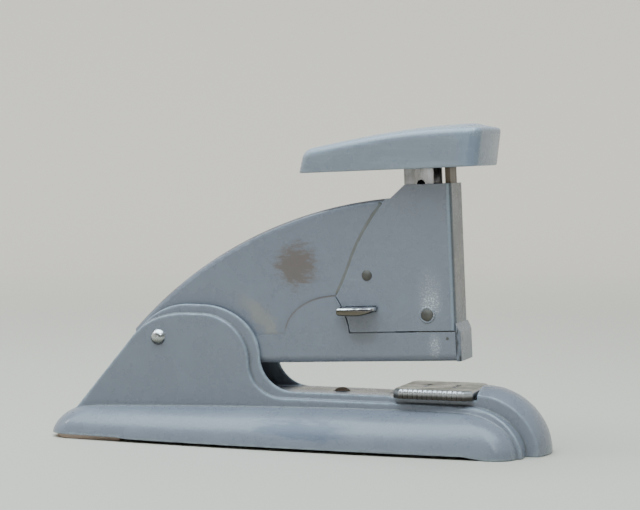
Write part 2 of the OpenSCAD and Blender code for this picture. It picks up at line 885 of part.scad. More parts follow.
plate_rise = 4.4;
plate_slope = 4.6;
head_foot = cover_top + seam_gap;
lid = 1.3 * sheet;
seam_start = [arch_top + seam_gap, arch_rise];
seam_turn = [arch_top + 4.5, arch_rise + 5];
seam_middle = [arch_top + 9.9, arch_rise + 18.4];
seam_bow = [head_back - 16.6, shoulder_rise - 17.6];
seam_end = [head_back - 2.2, shoulder_rise];
head_outline = concat(
    [[head_back, shoulder_rise], [head_back + chamfer_run, head_rise], [head_front, head_rise]],
    [[head_front, head_foot], [arch_top + gap_slant + seam_gap, head_foot]],
    [for (point = reversed(gap_curve)) if (point.y > head_foot && point.y < arch_rise) point + [seam_gap, 0]],
    bend(seam_start, seam_turn, seam_middle), bend(seam_middle, seam_bow, seam_end)
);
head_hollow = [
    [arch_top - beyond, -beyond], [head_front, -beyond], [head_front, head_rise - lid],
    [head_back + chamfer_run, head_rise - lid], [head_back, shoulder_rise - lid],
    [head_back, head_rise + beyond], [arch_top - beyond, head_rise + beyond]
];

module head_shell() {
    slack = 2 * slide_gap;
    color(enamel) at_rest() difference() {
        intersection() {
            translate([0, 0, -cut]) linear_extrude(height = head_rise + 2 * cut)
                plan(arch_top - beyond, head_front, head_half, head_corner);
            side_view(head_width + cut) polygon(head_outline);
        }
        intersection() {
            translate([0, 0, -2 * cut]) linear_extrude(height = head_rise + 4 * cut)
                plan(arch_top - 2 * beyond, head_front - sheet, shell_inner, head_corner - sheet);
            side_view(head_width + cut) polygon(head_hollow);
        }
        block([channel_back - slack, -channel_half - slack, head_rise - 2 * lid],
            [channel_front + slack, channel_half + slack, head_rise + cut]);
        block([bar_back - loose_gap, -bar_width / 2 - loose_gap, head_rise - 2 * lid],
            [bar_front + loose_gap, bar_width / 2 + loose_gap, head_rise + cut]);
        latch_slot(head_half);
        rivet_holes();
    }
}

module front_plate() {
    outline = [
        [head_front, plate_rise], [head_front + plate_depth, plate_rise - plate_slope],
        [head_front + plate_depth, -magazine_depth], [head_front, -magazine_depth]
    ];
    color(enamel) at_rest() {
        intersection() {
            translate([0, 0, -magazine_depth - cut])
                linear_extrude(height = magazine_depth + plate_rise + 2 * cut)
                plan(head_front - head_length, head_front + plate_depth, head_half, plate_depth - loose_gap);
            side_view(head_width + cut) polygon(outline);
        }
        block([bar_front + loose_gap, -rail_half, -magazine_depth + slide_gap],
            [head_front + cut, rail_half, head_foot - loose_gap]);
    }
}

module head_rivets() {
    color(rusty) at_rest() {
        for (rivet = rivets) {
            cross_pin(rivet.x, rivet.y, rivet_shank, head_width);
            for (side = [0, 1]) {
                mirror([0, side, 0]) translate([rivet.x, -head_half, rivet.y]) dome(rivet.z, rivet_dome);
            }
        }
    }
}

post_diameter = 5;
post_foot = block_top - 5;
post_spare = 4;

module head_block() {
    color(dull_steel) at_rest() difference() {
        block([block_back, -shell_inner, block_foot], [block_front, shell_inner, block_top]);
        rivet_holes();
        translate([spring_x, 0, post_foot])
            cylinder(d = post_diameter + 2 * press_gap, h = block_top - post_foot + cut);
    }
}

module spring_post() {
    color(steel) at_rest() translate([spring_x, 0, post_foot])
        cylinder(d = post_diameter, h = head_rise - plunger_stroke - post_spare - post_foot);
}

module plunger_guide() {
    back = head_back + guide_setback;
    top = head_rise - lid;
    slant = chamfer_drop * (1 - guide_setback / chamfer_run) + nest_gap;
    outline = [
        [back, guide_foot], [block_front, guide_foot], [block_front, top],
        [head_back + chamfer_run + nest_gap, top], [back, top - slant]
    ];
    color(dull_steel) at_rest() difference() {
        side_view(2 * shell_inner) polygon(outline);
        block([channel_back - slide_gap, -channel_half - slide_gap, guide_foot - cut],
            [channel_front + slide_gap, channel_half + slide_gap, top + cut]);
    }
}

module plunger_spring() {
    wire = 1.3;
    foot = block_top + seat_gap;
    color(steel) at_rest() translate([spring_x, 0, foot])
        coil_spring("plunger_spring", post_diameter, wire, cross_bottom - seat_gap - foot, 13, 6, 4);
}

// Latch

// Plan of the thumb tab outside the head
module tab_plan(back, tip, corner) {
    front = back + tab_length;
    translate([back, tip + corner]) square([tab_length, tab_reach - corner]);
    translate([back + corner, tip]) square([tab_length - 2 * corner, tab_reach]);
    for (x = [back + corner, front - corner]) translate([x, tip + corner]) circle(r = corner);
}

module latch_slide() {
    inside = -latch_inner + latch_arm;
    flank = -head_half - loose_gap;
    top = latch_z + latch_thickness / 2;
    root_front = latch_root + latch_root_length;
    color(chrome) at_rest() {
        translate([0, 0, top - latch_thickness]) linear_extrude(height = latch_thickness) {
            translate([latch_nose, -latch_inner]) square([root_front - latch_nose, latch_arm]);
            translate([latch_root, flank - seat_gap]) square([latch_root_length, inside - flank]);
        }
        translate([0, 0, top - tab_height]) linear_extrude(height = tab_height)
            tab_plan(latch_root - tab_setback, flank - tab_reach, 3);
    }
}

module latch_spring() {
    back = latch_root + latch_root_length + seat_gap;
    wire = 0.5;
    radius = latch_arm / 2 - loose_gap;
    color(steel) at_rest() translate([back, -latch_inner + latch_arm / 2, latch_z]) rotate([0, 90, 0])
        coil_spring("latch_spring", radius, wire, block_back - seat_gap - back, 8, 6, 4);
}

// Plunger

// Outline of the knob in plan, drawn in by an inset
module knob_level(z, inset, drop) {
    rear_half = knob_rear_width / 2 - inset;
    front_half = knob_width / 2 - inset;
    rear_round = 5;
    front_round = 4;
    for (side = [-1, 1]) {
        translate([knob_back + inset + rear_round, side * (rear_half - rear_round), z - drop])
            cylinder(r = rear_round, h = slice);
        translate([knob_front - inset - front_round, side * (front_half - front_round), z])
            cylinder(r = front_round, h = slice);
    }
}

module knob_form() {
    slope = 7;
    hull($fn = 48) {
        knob_level(knob_bottom, 0, 0);
        knob_level(knob_top - 8, 0, slope - 1);
        knob_level(knob_top - 5, 0.8, slope - 0.5);
        knob_level(knob_top - 3, 2.4, slope);
        translate([knob_back + 16, 0, knob_top - slope - 1.5]) cylinder(r = 6, h = slice);
        translate([knob_centre, 0, knob_top - 2]) cylinder(r = 8, h = slice);
        translate([knob_front - 20, 0, knob_top - slice]) cylinder(r = 9, h = slice);
    }
}

module knob_hollow() {
    back = knob_back + knob_wall;
    front = knob_front - knob_wall;
    rear_half = knob_rear_width / 2 - knob_wall;
    front_half = knob_width / 2 - knob_wall;
    side_profile = [
        [back - cut, knob_bottom - cut], [front + cut, knob_bottom - cut], [front + cut, knob_ceiling],
        [screw_rear - cross_end, knob_ceiling], [back - cut, knob_ceiling - knob_rear_drop]
    ];
    plan_profile = concat(
        arc([back + 6, -rear_half + 6], 6, 6, 180, 270, 6),
        arc([front - 9, -front_half + 9], 9, 9, 270, 360, 6),
        arc([front - 9, front_half - 9], 9, 9, 0, 90, 6),
        arc([back + 6, rear_half - 6], 6, 6, 90, 180, 6)
    );
    intersection() {
        side_view(knob_width) polygon(side_profile);
        translate([0, 0, knob_bottom - cut]) linear_extrude(height = knob_height) polygon(plan_profile);
    }
}

module screw_places(z) {
    for (x = [screw_rear, screw_front]) translate([x, 0, z]) children();
}

module knob() {
    color(enamel) at_rest() difference() {
        knob_form();
        knob_hollow();
        screw_places(knob_ceiling - cut) cylinder(d = screw_shank + 2 * press_gap, h = screw_bite + cut);
    }
}

module crosshead() {
    half = channel_half + cut;
    color(dull_steel) at_rest() difference() {
        block([screw_rear - cross_end, -half, cross_bottom], [screw_front + cross_end, half, knob_ceiling]);
        screw_places(cross_bottom - cut)
            cylinder(d = screw_shank + 2 * press_gap, h = cross_thickness + 2 * cut);
    }
}

module knob_screws() {
    color(dull_steel) at_rest() screw_places(cross_bottom) {
        cylinder(d = screw_shank, h = cross_thickness + screw_bite);
        translate([0, 0, -2]) cylinder(d = 2 * screw_shank, h = 2);
    }
}

module plunger_channel() {
    inner = channel_half - channel_sheet;
    notch = 4.2;
    notch_setback = 9;
    color(chrome) at_rest() difference() {
        block([channel_back, -channel_half, channel_foot], [channel_front, channel_half, cross_bottom]);
        block([channel_back + channel_sheet, -inner, channel_foot - cut],
            [channel_front + cut, inner, cross_bottom + cut]);
        cross_pin(channel_back + notch_setback, head_rise + loose_gap, notch, channel_width + cut);
    }
}

module blade_rivet_places() {
    for (z = [bar_tip + 5, blade_top - 5]) translate([bar_back, 0, z]) rotate([0, 90, 0]) children();
}

blade_rivet = 2;

module driver_bar() {
    half = bar_width / 2;
    color(dull_steel) at_rest() difference() {
        block([bar_back, -half, bar_tip], [bar_front, half, cross_bottom]);
        block([blade_back, -half - cut, bar_tip - cut], [bar_front + cut, half + cut, blade_top]);
        blade_rivet_places() cylinder(d = blade_rivet + 2 * press_gap, h = bar_thickness + cut);
    }
}

module driver_blade() {
    half = rail_half + 0.2;
    color(steel) at_rest() difference() {
        block([blade_back, -half, blade_tip], [bar_front, half, blade_top]);
        translate([-cut, 0, 0]) blade_rivet_places()
            cylinder(d = blade_rivet + 2 * press_gap, h = bar_thickness + 2 * cut);
    }
}

module blade_rivets() {
    color(dull_steel) at_rest() blade_rivet_places() cylinder(d = blade_rivet, h = bar_thickness);
}

base_casting();
rear_foot_pad();
hinge_pin();
hinge_pin_cap();
hinge_bush();
arm_spring();
spring_stud();
leaf_spring();
leaf_rivet();
anvil_collar();
anvil_plate();
anvil_stem();
magazine_cover();
staple_channel();
staple_rail();
channel_rivets();
guide_rod();
rod_bracket();
spring_cup();
latch_catch();
pusher();
pusher_spring();
arm_shell();
head_shell();
front_plate();
head_rivets();
head_block();
spring_post();
plunger_guide();
plunger_spring();
latch_slide();
latch_spring();
knob();
crosshead();
knob_screws();
plunger_channel();
driver_bar();
driver_blade();
blade_rivets();
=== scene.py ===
import json
import math

import bmesh
import bpy
import numpy as np
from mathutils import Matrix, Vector


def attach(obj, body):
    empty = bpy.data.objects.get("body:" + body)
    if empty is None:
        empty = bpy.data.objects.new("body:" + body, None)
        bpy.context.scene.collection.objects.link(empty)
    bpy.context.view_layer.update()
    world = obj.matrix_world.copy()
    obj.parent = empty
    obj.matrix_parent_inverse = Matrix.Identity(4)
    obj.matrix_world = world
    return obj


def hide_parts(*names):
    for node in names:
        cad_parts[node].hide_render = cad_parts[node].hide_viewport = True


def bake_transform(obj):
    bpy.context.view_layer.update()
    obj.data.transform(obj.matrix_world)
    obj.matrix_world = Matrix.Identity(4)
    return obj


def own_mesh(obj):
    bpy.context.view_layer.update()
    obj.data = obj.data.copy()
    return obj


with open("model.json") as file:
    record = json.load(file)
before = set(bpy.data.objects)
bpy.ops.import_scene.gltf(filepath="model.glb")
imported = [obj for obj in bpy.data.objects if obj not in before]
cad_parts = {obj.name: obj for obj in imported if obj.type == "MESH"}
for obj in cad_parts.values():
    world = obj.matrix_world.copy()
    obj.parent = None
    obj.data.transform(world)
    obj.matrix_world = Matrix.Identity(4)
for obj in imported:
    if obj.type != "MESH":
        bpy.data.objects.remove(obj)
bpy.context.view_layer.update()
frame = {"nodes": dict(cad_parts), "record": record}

MM = 0.001

# Sizes of the stapler in millimetres, +X to the front and +Z up
BASE_HALF = 135.0
SIDE_HALF = 38.5
DECK = 28.0
STEP = 24.5
CREASE = 21.0
TAIL_FALL = 5.0
NOSE_LIFT = 0.8
NOSE_TOP = 33.8
NOSE_CROWN = 3.4
NOSE_GAP = 1.4
WALL_HALF = 16.6
DECK_HALF = 14.6
EAR_INNER = 12.6
CAST_WALL = 2.6
PAD_RIM = 1.8
PAD_TOP = 3.25
PIN_X = -75.0
PIN_Z = 54.6
REST_TILT = math.radians(2.5)
EAR_TOP = 72.5
EAR_FRONT = -18.0
EAR_CREST = PIN_X + 24
EAR_WAIST = 17.8
ANVIL_X = 77.1
ANVIL_HALF = 21.0
ANVIL_CORNER = 4.0
ANVIL_FOOT = 27.5
ANVIL_TOP = 32.5
ARCH_TOP = 98.8
ARCH_LENGTH = 28.4
ARCH_RISE = 19.6


def world_from_level(u, v):
    """Place in the frame of a point drawn level on the hinge pin."""
    cos, sin = math.cos(REST_TILT), math.sin(REST_TILT)
    return PIN_X + u * cos - v * sin, PIN_Z + u * sin + v * cos


LEVEL_OUT = (math.cos(REST_TILT), 0.0, math.sin(REST_TILT))
LEVEL_UP = (-math.sin(REST_TILT), 0.0, math.cos(REST_TILT))


# New objects in the scene

def new_object(name, data):
    """Object in the scene that shows a mesh, a light or a camera."""
    thing = bpy.data.objects.new(name, data)
    bpy.context.scene.collection.objects.link(thing)
    return thing


def smooth_object(name, verts, faces):
    """Smooth-shaded mesh object, in metres."""
    mesh = bpy.data.meshes.new(name)
    mesh.from_pydata(verts, [], faces)
    mesh.polygons.foreach_set("use_smooth", [True] * len(mesh.polygons))
    return new_object(name, mesh)


# Camera, floor and light

CAMERA_AT = (0.35987, -1.01438, 0.15930)
CAMERA_YAW = math.radians(19.0)
PICTURE_WIDTH = 640
FOCAL_PIXELS = 2045
HORIZON_PIXELS = 115
CAMERA_PITCH = math.atan(HORIZON_PIXELS / FOCAL_PIXELS)
SENSOR = 36.0
LENS = FOCAL_PIXELS / PICTURE_WIDTH * SENSOR


def make_camera():
    data = bpy.data.cameras.new("camera")
    data.sensor_width = SENSOR
    data.lens = LENS
    data.clip_start = 0.01
    camera = new_object("camera", data)
    level = math.cos(CAMERA_PITCH)
    ahead = Vector((-math.sin(CAMERA_YAW) * level, math.cos(CAMERA_YAW) * level, -math.sin(CAMERA_PITCH)))
    camera.location = CAMERA_AT
    camera.rotation_euler = ahead.to_track_quat("-Z", "Y").to_euler()
    bpy.context.scene.camera = camera


FLOOR_DARK = (0.17, 0.16, 0.14)
FLOOR_PALE = (0.55, 0.50, 0.43)
FLOOR_GLOW = (1.0, 0.95, 0.87, 1)
BEHIND_PART = (-0.5, 0.87, 0.0)


def make_floor():
    """Pale round floor that sweeps up into a wall on every side, which glows softly behind the part."""
    flat, bend, rise = 1.4, 0.8, 1.7
    turns, rings, bends = 72, 6, 14
    profile = [(flat * i / rings, 0.0) for i in range(1, rings + 1)]
    for i in range(1, bends + 1):
        angle = math.radians(90 * i / bends)
        profile.append((flat + bend * math.sin(angle), bend - bend * math.cos(angle)))
    profile.append((flat + bend, rise))
    verts = [(0.0, 0.0, 0.0)]
    for radius, height in profile:
        for j in range(turns):
            angle = 2 * math.pi * j / turns
            verts.append((radius * math.cos(angle), radius * math.sin(angle), height))
    faces = [(0, 1 + j, 1 + (j + 1) % turns) for j in range(turns)]
    for i in range(len(profile) - 1):
        ring = 1 + i * turns
        for j in range(turns):
            k = (j + 1) % turns
            faces.append((ring + j, ring + turns + j, ring + turns + k, ring + k))
    floor = smooth_object("floor", verts, faces)
    shade = Shade("floor")
    away = shade.vector("LENGTH", shade.vector("MULTIPLY", shade.point, (1.0, 1.0, 0.0)))
    behind = shade.vector("DOT_PRODUCT", shade.point, BEHIND_PART)
    paint = shade.mix(shade.ramp(behind, -1.7, -0.6), FLOOR_DARK, FLOOR_PALE)
    glow = shade.times(shade.ramp(away, 0.5, 2.0, 0.0, 0.42), shade.ramp(behind, -0.4, 1.2))
    shade.set(base_color=paint, roughness=0.6, emission_color=FLOOR_GLOW, emission_strength=glow)
    floor.data.materials.append(shade.material)


def area_light(name, at, aim, size, power, colour):
    """Rectangular light in metres and watts, turned towards the aim."""
    data = bpy.data.lights.new(name, "AREA")
    data.shape = "RECTANGLE"
    data.size, data.size_y = size
    data.energy = power
    data.color = colour
    light = new_object(name, data)
    light.location = at
    light.rotation_euler = (Vector(aim) - Vector(at)).to_track_quat("-Z", "Y").to_euler()


SKY_BLUE = (0.80, 1.02, 1.10)
WINDOW_BLUE = (0.95, 0.98, 1.0)
WINDOW_WARM = (1.0, 0.99, 0.97)
WORLD_COLOUR = (0.95, 0.96, 1.0, 1)


def make_lights():
    """One large soft light overhead, three small windows, and a world that is brighter above."""
    area_light("overhead", (-0.1, -0.3, 1.5), (0, 0, 0), (2.0, 1.6), 53.5, SKY_BLUE)
    area_light("key_window", (0.72, -1.20, 0.95), (0.04, 0, 0.06), (0.24, 0.28), 3.1, WINDOW_BLUE)
    area_light("left_window", (-1.1, -0.2, 0.9), (-0.1, 0, 0.03), (0.18, 0.24), 3.0, WINDOW_BLUE)
    area_light("low_window", (-0.24, -1.36, 0.16), (0.05, 0, 0.08), (0.18, 0.24), 0.5, WINDOW_WARM)
    world = bpy.context.scene.world or bpy.data.worlds.new("studio")
    bpy.context.scene.world = world
    world.use_nodes = True
    nodes, links = world.node_tree.nodes, world.node_tree.links
    sky = nodes["Background"]
    sky.inputs["Color"].default_value = WORLD_COLOUR
    rise = nodes.new("ShaderNodeMapRange")
    lowest, highest, dim, bright = -0.3, 1.0, 0.15, 0.50
    for socket, number in zip(list(rise.inputs)[1:5], (lowest, highest, dim, bright)):
        socket.default_value = number
    split = nodes.new("ShaderNodeSeparateXYZ")
    links.new(nodes.new("ShaderNodeTexCoord").outputs["Generated"], split.inputs[0])
    links.new(split.outputs["Z"], rise.inputs[0])
    links.new(rise.outputs[0], sky.inputs["Strength"])


# Procedural materials, laid out by the place on the part

def place(x, y, z):
    """Point of the part, from millimetres to metres."""
    return Vector((x * MM, y * MM, z * MM))


class Shade:
    """Node material under construction, with short calls for the nodes that it uses."""

    def __init__(self, name):
        self.material = bpy.data.materials.new(name)
        self.material.use_nodes = True
        self.tree = self.material.node_tree
        self.shader = self.tree.nodes["Principled BSDF"]
        coordinates = self.node("TexCoord")
        self.point = coordinates.outputs["Object"]
        self.facing = coordinates.outputs["Normal"]

    def node(self, kind):
        return self.tree.nodes.new("ShaderNode" + kind)

    def link(self, value, socket):
        if isinstance(value, bpy.types.NodeSocket):
            self.tree.links.new(value, socket)
        else:
            socket.default_value = value

    def set(self, **values):
        for name, value in values.items():
            self.link(value, self.shader.inputs[name.replace("_", " ").title()])

    def vector(self, operation, first, second=None):
        node = self.node("VectorMath")
        node.operation = operation
        self.link(first, node.inputs[0])
        if second is not None:
            self.link(second, node.inputs[1])
        return node.outputs["Value" if operation in ("LENGTH", "DOT_PRODUCT") else "Vector"]

    def math(self, operation, first, second=0.0):
        """Result of a math node with one or two values."""
        node = self.node("Math")
        node.operation = operation
        self.link(first, node.inputs[0])
        self.link(second, node.inputs[1])
        return node.outputs[0]

    def times(self, first, second):
        return self.math("MULTIPLY", first, second)

    def noise(self, scale, detail=2.0, rough=0.5, stretch=None):
        node = self.node("TexNoise")
        point = self.point
        if stretch is not None:
            point = self.vector("MULTIPLY", point, stretch)
        self.link(point, node.inputs["Vector"])
        node.inputs["Scale"].default_value = scale
        node.inputs["Detail"].default_value = detail
        node.inputs["Roughness"].default_value = rough
        return node.outputs["Fac"]

    def ramp(self, value, low, high, start=0.0, end=1.0):
        """Smooth change from start to end as the value goes from low to high."""
        node = self.node("MapRange")
        node.interpolation_type = "SMOOTHSTEP"
        self.link(value, node.inputs[0])
        for socket, number in zip(list(node.inputs)[1:5], (low, high, start, end)):
            socket.default_value = number
        return node.outputs[0]

    def mix(self, amount, first, second):
        """Colour between the first, at amount 0, and the second, at amount 1."""
        node = self.node("Mix")
        node.data_type = "RGBA"
        self.link(amount, node.inputs[0])
        for value, socket in ((first, node.inputs[6]), (second, node.inputs[7])):
            self.link(value if isinstance(value, bpy.types.NodeSocket) else (*value, 1.0), socket)
        return node.outputs[2]

    def distance(self, centre, radii):
        """Distance from a centre, counted in the radii of an ellipsoid round it."""
        away = self.vector("SUBTRACT", self.point, centre)
        return self.vector("LENGTH", self.vector("DIVIDE", away, place(*radii)))

    def wear(self, centre, radii, grain, stretch):
        """Mask of worn paint: nearly whole in the middle, broken into flecks further out."""
        away = self.distance(centre, radii)
        flecks = self.noise(grain, 6.0, 0.72, stretch=stretch)
        inward = self.times(self.math("SUBTRACT", 1.0, away), 0.55)
        return self.ramp(self.math("ADD", flecks, inward), 0.58, 0.84)

    def axis(self, axis, of_normal=False):
        """One coordinate of the place on the part, or of the direction that it faces."""
        node = self.node("SeparateXYZ")
        self.link(self.facing if of_normal else self.point, node.inputs[0])
        return node.outputs[axis]

    def layer(self, name):
        """Values that the mesh carries under that name."""
        node = self.node("Attribute")
        node.attribute_name = name
        return node.outputs["Fac"]

    def painted_glint(self, colour, centre, radii, amount):
        """Painted highlight: a soft bright glint on polished paint, broken into small bright flecks."""
        soft = self.ramp(self.distance(centre, radii), 1.0, 0.1, 0.0, amount)
        flecks = self.ramp(self.noise(1300.0, 3.0, 0.6), 0.50, 0.66)
        colour = self.mix(self.times(soft, 0.3), colour, GLINT)
        return self.mix(self.times(soft, flecks), colour, GLINT_FLECK)

    def bump(self, height, strength, distance, under=None):
        node = self.node("Bump")
        node.inputs["Strength"].default_value = strength
        node.inputs["Distance"].default_value = distance
        self.link(height, node.inputs["Height"])
        if under is not None:
            self.link(under, node.inputs["Normal"])
        return node.outputs[0]


# Colours of the paint and its wear, and of the highlights and shade painted onto it
ENAMEL = (0.169, 0.180, 0.219)
ENAMEL_LIGHT = (0.185, 0.196, 0.238)
BROWN_METAL = (0.136, 0.110, 0.102)
# Grime, also used as painted shade in creases and under the latch tab
GRIME_AND_SHADE = (0.090, 0.084, 0.076)
# Pale paint of scratches and worn spots, also used for painted highlights
PALE_PAINT_AND_HIGHLIGHT = (0.31, 0.365, 0.43)
SCUFF = (0.080, 0.098, 0.155)
# Colours of painted highlights: a soft glint and its bright flecks
GLINT = (0.36, 0.38, 0.42)
GLINT_FLECK = (0.72, 0.74, 0.77)
NEARLY_BLACK = (0.030, 0.031, 0.034)
# Painted shade for the head's front faces
FRONT_SHADE_GREY = (0.114, 0.130, 0.156)
RUBBED = (0.242, 0.228, 0.218)
# Rubbed paint at the knob's front corner, partly a painted bluish highlight
RUBBED_BLUE_AND_HIGHLIGHT = (0.190, 0.238, 0.325)


def enamel(name, patches=(), edge_amount=0.85, extra=None):
    """Old satin enamel with orange peel, uneven tone and the given patches of wear; edges lightened, partly
    as worn paint and partly as a painted highlight; creases darkened, partly as grime and partly as painted
    shade.
    """
    shade = Shade(name)
    tone = shade.noise(13.0)
    colour = shade.mix(shade.ramp(tone, 0.2, 0.8), ENAMEL, ENAMEL_LIGHT)
    mottle = shade.noise(75.0, 5.0, 0.65)
    colour = shade.mix(shade.ramp(mottle, 0.42, 0.85, 0.0, 0.12), colour, PALE_PAINT_AND_HIGHLIGHT)
    specks = shade.ramp(shade.noise(620.0), 0.68, 0.80, 0.0, 0.22)
    colour = shade.mix(specks, colour, GRIME_AND_SHADE)
    scratch = shade.noise(34.0, 3.0, stretch=(1.0, 8.0, 16.0))
    colour = shade.mix(shade.ramp(scratch, 0.68, 0.78, 0.0, 0.2), colour, PALE_PAINT_AND_HIGHLIGHT)
    wear = None
    for centre, radii, worn, amount, grain, stretch in patches:
        mask = shade.times(shade.wear(centre, radii, grain, stretch), amount)
        colour = shade.mix(mask, colour, worn)
        wear = mask if wear is None else shade.math("MAXIMUM", wear, mask)
    # Edges lightened: partly worn paint, partly a painted highlight
    chip = shade.noise(240.0, 4.0, 0.65)
    edges = shade.times(shade.layer("edge"), shade.ramp(chip, 0.40, 0.62, 0.3, edge_amount))
    colour = shade.mix(edges, colour, PALE_PAINT_AND_HIGHLIGHT)
    # Creases darkened: partly grime, partly painted shade
    colour = shade.mix(shade.times(shade.layer("crease"), 0.6), colour, GRIME_AND_SHADE)
    if extra is not None:
        colour = extra(shade, colour)
    rough = shade.ramp(mottle, 0.3, 0.75, 0.23, 0.36)
    if wear is not None:
        rough = shade.math("ADD", rough, shade.times(wear, 0.14))
    peel = shade.bump(shade.noise(850.0), 0.2, 0.0004)
    waves = shade.bump(shade.noise(55.0, 1.0), 0.10, 0.002, peel)
    shade.set(base_color=colour, roughness=rough, normal=waves)
    return shade.material


def metal(name, colour, dark, rough, metallic=1.0, stretch=(1.0, 1.0, 1.0), dirt=0.5):
    """Bare or plated metal, or rubber, with streaks, tarnish and uneven gloss."""
    shade = Shade(name)
    streak = shade.noise(180.0, 4.0, 0.6, stretch=stretch)
    cloud = shade.noise(70.0, 3.0, 0.6)
    blend = shade.ramp(shade.times(streak, cloud), 0.16, 0.36, dirt, 0.0)
    tint = shade.mix(blend, colour, dark)
    polished = [min(1.0, 1.35 * c) for c in colour]
    tint = shade.mix(shade.times(shade.layer("edge"), 0.35), tint, polished)
    gloss = shade.ramp(streak, 0.3, 0.75, rough, rough + 0.18)
    shade.set(base_color=tint, metallic=metallic, roughness=gloss, normal=shade.bump(streak, 0.12, 0.0003))
    return shade.material


# Solids as distance fields on a grid, turned into smooth meshes

def smooth_min(a, b, k):
    """Both solids together, with a fillet of about k where they meet."""
    h = np.clip(0.5 + 0.5 * (b - a) / k, 0, 1)
    return b + (a - b) * h - k * h * (1 - h)


def smooth_max(a, b, k):
    """What both solids share, with its edge softened by about k."""
    return -smooth_min(-a, -b, k)


def round_max(a, b, r):
    """What both solids share, with its edge rounded to a radius."""
    return np.minimum(np.maximum(a, b), -r) + np.hypot(np.maximum(a + r, 0), np.maximum(b + r, 0))


def true_distance(field, step):
    """Scales a field so that it grows by about one per unit length."""
    slope = np.sqrt(sum(g * g for g in np.gradient(field, step)))
    return field / np.maximum(slope, 0.6)


def polygon_distance(px, pz, points):
    """Distance to a closed outline in the side view, negative inside it."""
    nearest = np.full(np.broadcast(px, pz).shape, 1e9)
    inside = np.zeros(nearest.shape, bool)
    for (ax, az), (bx, bz) in zip(points, points[1:] + points[:1]):
        ex, ez = bx - ax, bz - az
        t = np.clip(((px - ax) * ex + (pz - az) * ez) / (ex * ex + ez * ez), 0, 1)
        nearest = np.minimum(nearest, np.hypot(px - ax - ex * t, pz - az - ez * t))
        if bz != az:
            crosses = ((az <= pz) & (bz > pz)) | ((bz <= pz) & (az > pz))
            inside ^= crosses & (px < ax + (pz - az) / (bz - az) * ex)
    return np.where(inside, -nearest, nearest)


def sample(field, places, low, step):
    """Values of a field between its grid points."""
    at = (places - low) / step
    cell = np.clip(np.floor(at).astype(int), 0, np.array(field.shape) - 2)
    part = at - cell
    total = np.zeros(len(places))
    for corner in np.ndindex(2, 2, 2):
        weight = np.prod([part[:, a] if corner[a] else 1 - part[:, a] for a in range(3)], axis=0)
        total += weight * field[tuple(cell[:, a] + corner[a] for a in range(3))]
    return total


def surface_net(field, low, step):
    """Vertices and quads on the zero level of a field."""
    shape = np.array(field.shape)
    inside = field < 0
    filled = np.zeros(tuple(shape - 1), int)
    for i, j, k in np.ndindex(2, 2, 2):
        filled += inside[i:shape[0] - 1 + i, j:shape[1] - 1 + j, k:shape[2] - 1 + k]
    cells = np.argwhere((filled > 0) & (filled < 8))
    number = np.full(filled.shape, -1)
    number[tuple(cells.T)] = np.arange(len(cells))
    total = np.zeros((len(cells), 3))
    count = np.zeros(len(cells))
    corners = [np.array(c) for c in np.ndindex(2, 2, 2)]
    for a in corners:
        for axis in range(3):
            if a[axis]:
                continue
            b = a.copy()
            b[axis] = 1
            fa = field[tuple((cells + a).T)]
            fb = field[tuple((cells + b).T)]
            cut = (fa < 0) != (fb < 0)
            t = np.where(cut, fa / np.where(cut, fa - fb, 1), 0)
            total += np.where(cut[:, None], a + t[:, None] * (b - a), 0)
            count += cut
    verts = low + step * (cells + total / count[:, None])
    quads = []
    steps = np.eye(3, dtype=int)
    for axis in range(3):
        ahead, one, two = steps[axis], steps[(axis + 1) % 3], steps[(axis + 2) % 3]
        here = inside[tuple(slice(0, n - d) for n, d in zip(shape, ahead))]
        there = inside[tuple(slice(d, None) for d in ahead)]
        edges = np.argwhere(here != there)
        edges = edges[np.all(edges - one - two >= 0, axis=1)]
        edges = edges[np.all(edges < shape - 1, axis=1)]
        ring = [number[tuple((edges - s).T)] for s in (one + two, two, 0 * one, one)]
        turn = here[tuple(edges.T)]
        quad = np.stack(ring, axis=1)
        quads.append(np.where(turn[:, None], quad, quad[:, ::-1]))
    return verts, np.concatenate(quads)


def settle(verts, quads, field, low, step, rounds):
    """Evens out the vertices and draws them back onto the surface."""
    slopes = np.gradient(field, step)
    ends = np.concatenate([quads[:, [a, (a + 1) % 4]] for a in range(4)])
    degree = np.bincount(ends.ravel(), minlength=len(verts)).astype(float)
    for _ in range(rounds):
        pulled = np.zeros_like(verts)
        for a in range(3):
            pulled[:, a] = (np.bincount(ends[:, 0], verts[ends[:, 1], a], len(verts))
                            + np.bincount(ends[:, 1], verts[ends[:, 0], a], len(verts)))
        verts = verts + 0.5 * (pulled / degree[:, None] - verts)
        slope = np.stack([sample(s, verts, low, step) for s in slopes], axis=1)
        size = np.maximum((slope * slope).sum(axis=1), 0.2)
        off = np.clip(sample(field, verts, low, step) / size, -step, step)
        verts = verts - slope * off[:, None]
    return verts


def sharpness(verts, field, low, step):
    """How strongly the surface bends outwards, and inwards, at each vertex, from 0 to 1."""
    slopes = np.gradient(field, step)
    size = np.sqrt(sum(s * s for s in slopes)) + 1e-6
    bending = sum(np.gradient(s / size, step, axis=a) for a, s in enumerate(slopes))
    bend = sample(bending, verts, low, step)
    return np.clip(bend * 1.2 - 0.25, 0, 1), np.clip(-bend * 1.2 - 0.2, 0, 1)


def add_piece(name, verts, faces, body, replaced=(), layers=()):
    """New mesh piece, in millimetres, that moves with a body and may stand for CAD nodes."""
    piece = smooth_object(name, (verts * MM).tolist(), faces)
    for layer_name, values in zip(("edge", "crease"), layers):
        layer = piece.data.attributes.new(layer_name, "FLOAT", "POINT")
        layer.data.foreach_set("value", np.asarray(values, np.float32))
    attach(piece, body)
    if replaced:
        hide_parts(*replaced)
    return piece


